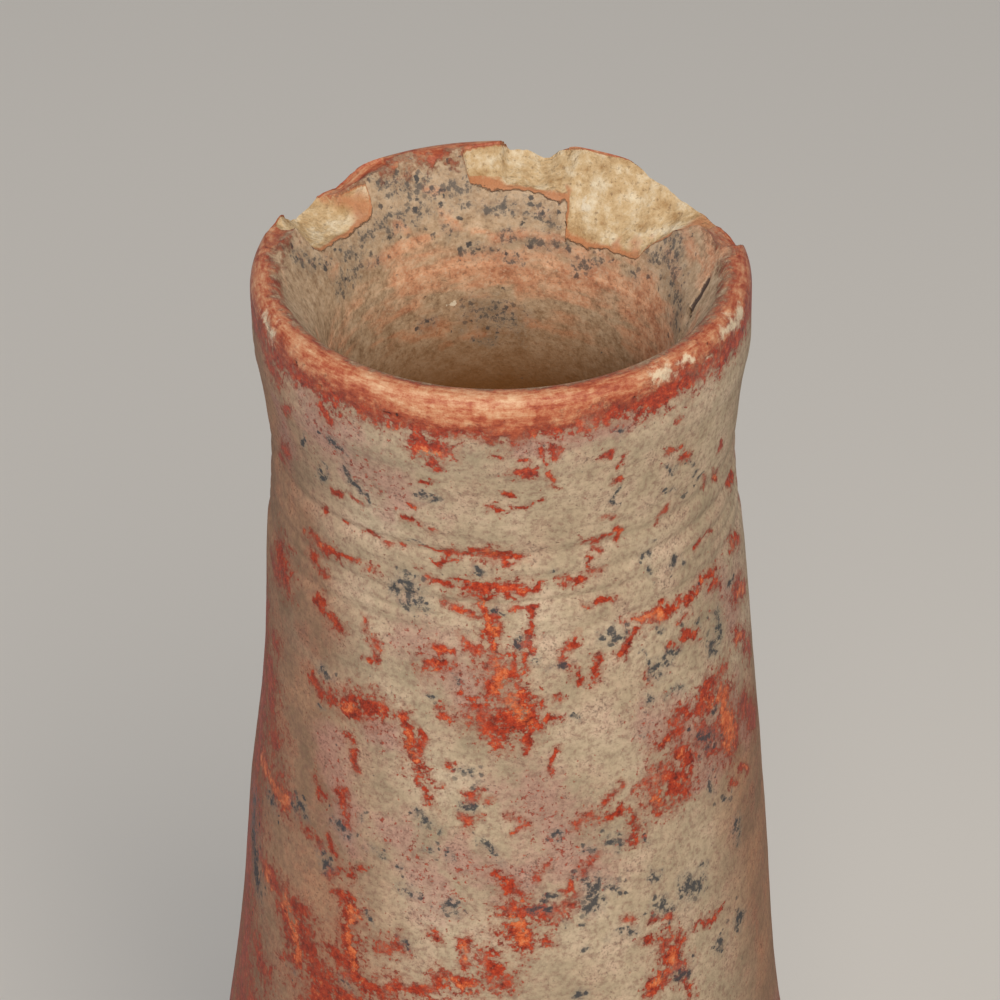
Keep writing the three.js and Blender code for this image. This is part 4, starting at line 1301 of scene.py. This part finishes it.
def lip_coat(tree, mm, fields):
    streaks = add(tree, "TexNoise", {"Vector": fields["streak"], "Scale": 0.9, "Detail": 7.0,
                                     "Roughness": 0.75})
    grain = add(tree, "TexNoise", {"Vector": mm, "Scale": 1 / LIP_GRAIN, "Detail": 7.0, "Roughness": 0.8})
    both = add(tree, "Mix", {FACTOR: GRAIN_SHARE, NUMBER_A: streaks, NUMBER_B: grain})
    blotch = add(tree, "TexNoise", {"Vector": mm, "Scale": 1 / LIP_BLOTCH, "Detail": 4.0, "Roughness": 0.6})
    patchy = add(tree, "Math", {0: blotch, 1: 0.35, 2: -0.2}, operation='MULTIPLY_ADD')
    mixed = add(tree, "Math", {0: both, 1: patchy}, operation='ADD')
    # Paler towards the crest: worn slip, and painted highlight where the top of the lip faces the light
    worn_and_lit = add(tree, "Math", {0: fields["wear"], 1: 0.03, 2: mixed}, operation='MULTIPLY_ADD')
    colour = add(tree, "ValToRGB", {"Fac": worn_and_lit},
                 stops=((0.38, "#7c2c1a"), (0.72, "#dcb690"), (0.48, "#a65032"), (0.57, "#bf7f5a")))
    tear = add(tree, "TexNoise", {"Vector": mm, "Scale": 1 / LIP_TEAR, "Detail": 7.0, "Roughness": 0.75})
    torn = add(tree, "Math", {0: tear, 1: 11.0, 2: -5.5}, operation='MULTIPLY_ADD')
    level = add(tree, "Math", {0: fields["wear"], 1: torn}, operation='ADD')
    mask = add(tree, "MapRange", {"Value": level, "From Min": -1.4, "From Max": 1.2},
               interpolation_type='SMOOTHSTEP')
    height = add(tree, "Math", {0: both, 1: 0.22}, operation='MULTIPLY')
    return (colour, LIP_ROUGHNESS, height), mask


print("coat: worn lip")

# %% [markdown]
# ## Fracture
# The breaks show the body of the clay, which is cream in the heart and orange along a margin that was
# nearer to the fire. Small holes are left where grains fell out.

# %% The fracture coat
FRACTURE_ROUGHNESS = 0.9
# Sizes of the clay's grain and of the holes in mm
CLAY_GRAIN, HOLE = 2.6, 0.6


def fracture_coat(tree, mm, fields):
    grain = add(tree, "TexNoise", {"Vector": mm, "Scale": 1 / CLAY_GRAIN, "Detail": 8.0, "Roughness": 0.7})
    cream = add(tree, "ValToRGB", {"Fac": grain},
                stops=((0.34, "#a98457"), (0.66, "#e8d8ba"), (0.50, "#cfb389")))
    holes = add(tree, "TexNoise", {"Vector": mm, "Scale": 1 / HOLE, "Detail": 3.0, "Roughness": 0.6})
    pits = add(tree, "MapRange", {"Value": holes, "From Min": 0.58, "From Max": 0.70, "To Max": 0.6})
    pitted = add(tree, "Mix", {FACTOR: pits, COLOUR_A: cream, COLOUR_B: paint("#7d5f42")}, data_type='RGBA')
    ragged = add(tree, "Math", {0: grain, 1: 2.0, 2: -1.0}, operation='MULTIPLY_ADD')
    shallow = add(tree, "Math", {0: fields["break_depth"], 1: ragged}, operation='ADD')
    margin = add(tree, "MapRange", {"Value": shallow, "From Min": 1.2, "From Max": 0.4, "To Max": 0.85},
                 interpolation_type='SMOOTHSTEP')
    patchy = add(tree, "Math", {0: grain, 1: 3.0, 2: fields["fired"]}, operation='MULTIPLY_ADD')
    fired = add(tree, "MapRange", {"Value": patchy, "From Min": 0.9, "From Max": 2.4, "To Max": 0.8},
                interpolation_type='SMOOTHSTEP')
    orange = add(tree, "Math", {0: margin, 1: fired}, operation='MAXIMUM')
    colour = add(tree, "Mix", {FACTOR: orange, COLOUR_A: pitted, COLOUR_B: paint("#bd7a52")},
                 data_type='RGBA')
    mask = add(tree, "MapRange", {"Value": shallow, "From Min": -0.30, "From Max": -0.12})
    dented = add(tree, "Math", {0: grain, 1: 0.8}, operation='MULTIPLY')
    height = add(tree, "Math", {0: holes, 1: -0.22, 2: dented}, operation='MULTIPLY_ADD')
    return (colour, FRACTURE_ROUGHNESS, height), mask


print("coat: fracture")

# %% [markdown]
# ## Laying the coats
# A material starts with the place of each point in millimetres and the fields that were stored on the
# rings. Coats are laid on one another by masks, and roughness and height follow the colour. At the end the
# height becomes a bump. Porous clay reflects less than a glaze does, and a burnished lip more than bare
# clay.

# %% Helpers for coats
FIELD_NAMES = (*FIELDS, "inside", "wear", "break_depth")
CLAY_SPECULAR = 0.22
BURNISHED_SPECULAR = 0.4
# Size of the grain that tears a stroke's edge, and size and height of the grit on everything, in mm
EDGE_GRAIN = 0.9
FINE_GRIT, GRIT_HEIGHT = 0.35, 0.04


def start_tree(name):
    material = new_material(name)
    tree = material.node_tree
    place = add(tree, "TexCoord")
    mm = add(tree, "VectorMath", {0: place.outputs["Object"], "Scale": 1 / MM}, operation='SCALE')
    fields = {n: add(tree, "Attribute", attribute_name=n).outputs["Fac"] for n in FIELD_NAMES}
    fields["streak"] = add(tree, "Attribute", attribute_name="streak").outputs["Vector"]
    return material, tree, mm, fields


def lay(tree, mask, below, above):
    """Lays one coat on another: colour, roughness and height all follow the mask."""
    colour = add(tree, "Mix", {FACTOR: mask, COLOUR_A: below[0], COLOUR_B: above[0]}, data_type='RGBA')
    roughness = add(tree, "Mix", {FACTOR: mask, NUMBER_A: below[1], NUMBER_B: above[1]})
    height = add(tree, "Mix", {FACTOR: mask, NUMBER_A: below[2], NUMBER_B: above[2]})
    return colour, roughness, height


def stain(tree, mask, coat, hex_colour):
    """Changes a coat's colour alone."""
    colour = add(tree, "Mix", {FACTOR: mask, COLOUR_A: coat[0], COLOUR_B: paint(hex_colour)},
                 data_type='RGBA')
    return colour, coat[1], coat[2]


def ragged_mask(tree, mm, field, raggedness, softness):
    """A stroke's mask with a ragged edge that fades over a share of the stroke's width."""
    grain = add(tree, "TexNoise", {"Vector": mm, "Scale": 1 / EDGE_GRAIN, "Detail": 6.0, "Roughness": 0.75})
    rough = add(tree, "Math", {0: grain, 1: raggedness, 2: -raggedness / 2}, operation='MULTIPLY_ADD')
    level = add(tree, "Math", {0: field, 1: rough}, operation='ADD')
    return add(tree, "MapRange", {"Value": level, "From Max": softness, "To Max": 0.9},
               interpolation_type='SMOOTHSTEP')


def finish_tree(tree, mm, coat, specular=CLAY_SPECULAR):
    grit = add(tree, "TexNoise", {"Vector": mm, "Scale": 1 / FINE_GRIT, "Detail": 2.0})
    relief = add(tree, "Math", {0: grit, 1: GRIT_HEIGHT, 2: coat[2]}, operation='MULTIPLY_ADD')
    bump = add(tree, "Bump", {"Height": relief, "Distance": MM, "Strength": 1.0})
    shader = add(tree, "BsdfPrincipled", {"Base Color": coat[0], "Roughness": coat[1],
                                          "Specular IOR Level": specular, "Normal": bump})
    add(tree, "OutputMaterial", {"Surface": shader})


print(f"helpers: coats with {len(FIELD_NAMES)} fields")

# %% [markdown]
# ## The three clays
# The wall is crust over slip outside and wiped clay inside. The rim has the same coats with the worn lip
# and the fracture on top, and luting clay is wiped clay with a fracture where a chip went through it.

# %% Build the materials
HAZE, STAIN, SPECK = "#8f5340", "#7c766b", "#373a3e"
# The bare clay's cream also stands for a painted highlight on the lip's crest
LIME, BARE_CLAY_AND_HIGHLIGHT, PIT = "#e4d6bd", "#dfcdae", "#3c2d2b"
# Raggedness and softness of their edges
LIME_EDGE, BARE_AND_LIT_EDGE, PIT_EDGE = (1.5, 0.3), (3.6, 1.0), (1.6, 0.3)


def wall_coats(tree, mm, fields):
    slip, slip_mask, haze = slip_coat(tree, mm, fields)
    crust = stain(tree, haze, crust_coat(tree, mm, fields), HAZE)
    outside = lay(tree, slip_mask, crust, slip)
    return lay(tree, fields["inside"], outside, inside_coat(tree, mm, fields))


def speckle(tree, mm, fields, coat):
    dots, grey = speck_masks(tree, mm, fields)
    return stain(tree, dots, stain(tree, grey, coat, STAIN), SPECK)


def lime_grains(tree, mm, fields, coat):
    return stain(tree, ragged_mask(tree, mm, fields["lime"], *LIME_EDGE), coat, LIME)


def make_wall():
    # Gives the eye a dry, grey-buff wall with torn patches of red and blue-black specks
    material, tree, mm, fields = start_tree("lime-crusted red slip")
    coat = speckle(tree, mm, fields, wall_coats(tree, mm, fields))
    finish_tree(tree, mm, lime_grains(tree, mm, fields, coat))
    return material


def make_rim():
    # Gives the eye a red lip that use has rubbed to peach, paler on the crest with painted highlight, and a
    # little shine, with cream breaks
    material, tree, mm, fields = start_tree("worn burnished slip")
    lip, lip_mask = lip_coat(tree, mm, fields)
    coat = speckle(tree, mm, fields, wall_coats(tree, mm, fields))
    coat = lay(tree, lip_mask, coat, lip)
    fracture, fracture_mask = fracture_coat(tree, mm, fields)
    coat = lime_grains(tree, mm, fields, lay(tree, fracture_mask, coat, fracture))
    # Cream bare spots, on the crest partly a painted highlight
    coat = stain(tree, ragged_mask(tree, mm, fields["pale"], *BARE_AND_LIT_EDGE), coat, BARE_CLAY_AND_HIGHLIGHT)
    coat = stain(tree, ragged_mask(tree, mm, fields["dark"], *PIT_EDGE), coat, PIT)
    finish_tree(tree, mm, coat, BURNISHED_SPECULAR)
    return material


def make_luting_clay():
    # Gives the eye dull, buff and pink clay that fingers smoothed
    material, tree, mm, fields = start_tree("wiped luting clay")
    coat = speckle(tree, mm, fields, inside_coat(tree, mm, fields))
    fracture, fracture_mask = fracture_coat(tree, mm, fields)
    finish_tree(tree, mm, lay(tree, fracture_mask, coat, fracture))
    return material


wall_material = make_wall()
rim_material = make_rim()
luting_material = make_luting_clay()
print("materials:", [m.name for m in (wall_material, rim_material, luting_material)])

# %% [markdown]
# ## Dressing the rings
# Each ring takes its material. Smooth shading would smear light across the sharp edge of a joint or a chip,
# so edges sharper than a set angle stay hard.

# %% Assign materials and shade
SHARP_ANGLE = math.radians(38)


def dress(piece, material):
    piece.data.materials.append(material)
    piece.data.shade_smooth()
    piece.data.set_sharp_from_angle(angle=SHARP_ANGLE)


for name in ("collar", "neck", "upper_body", "lower_body"):
    dress(pieces[name], wall_material)
dress(pieces["rim"], rim_material)
dress(pieces["base_disc"], wall_material)
for name in LUTES:
    dress(pieces[name], luting_material)
print("dressed:", sorted(pieces))
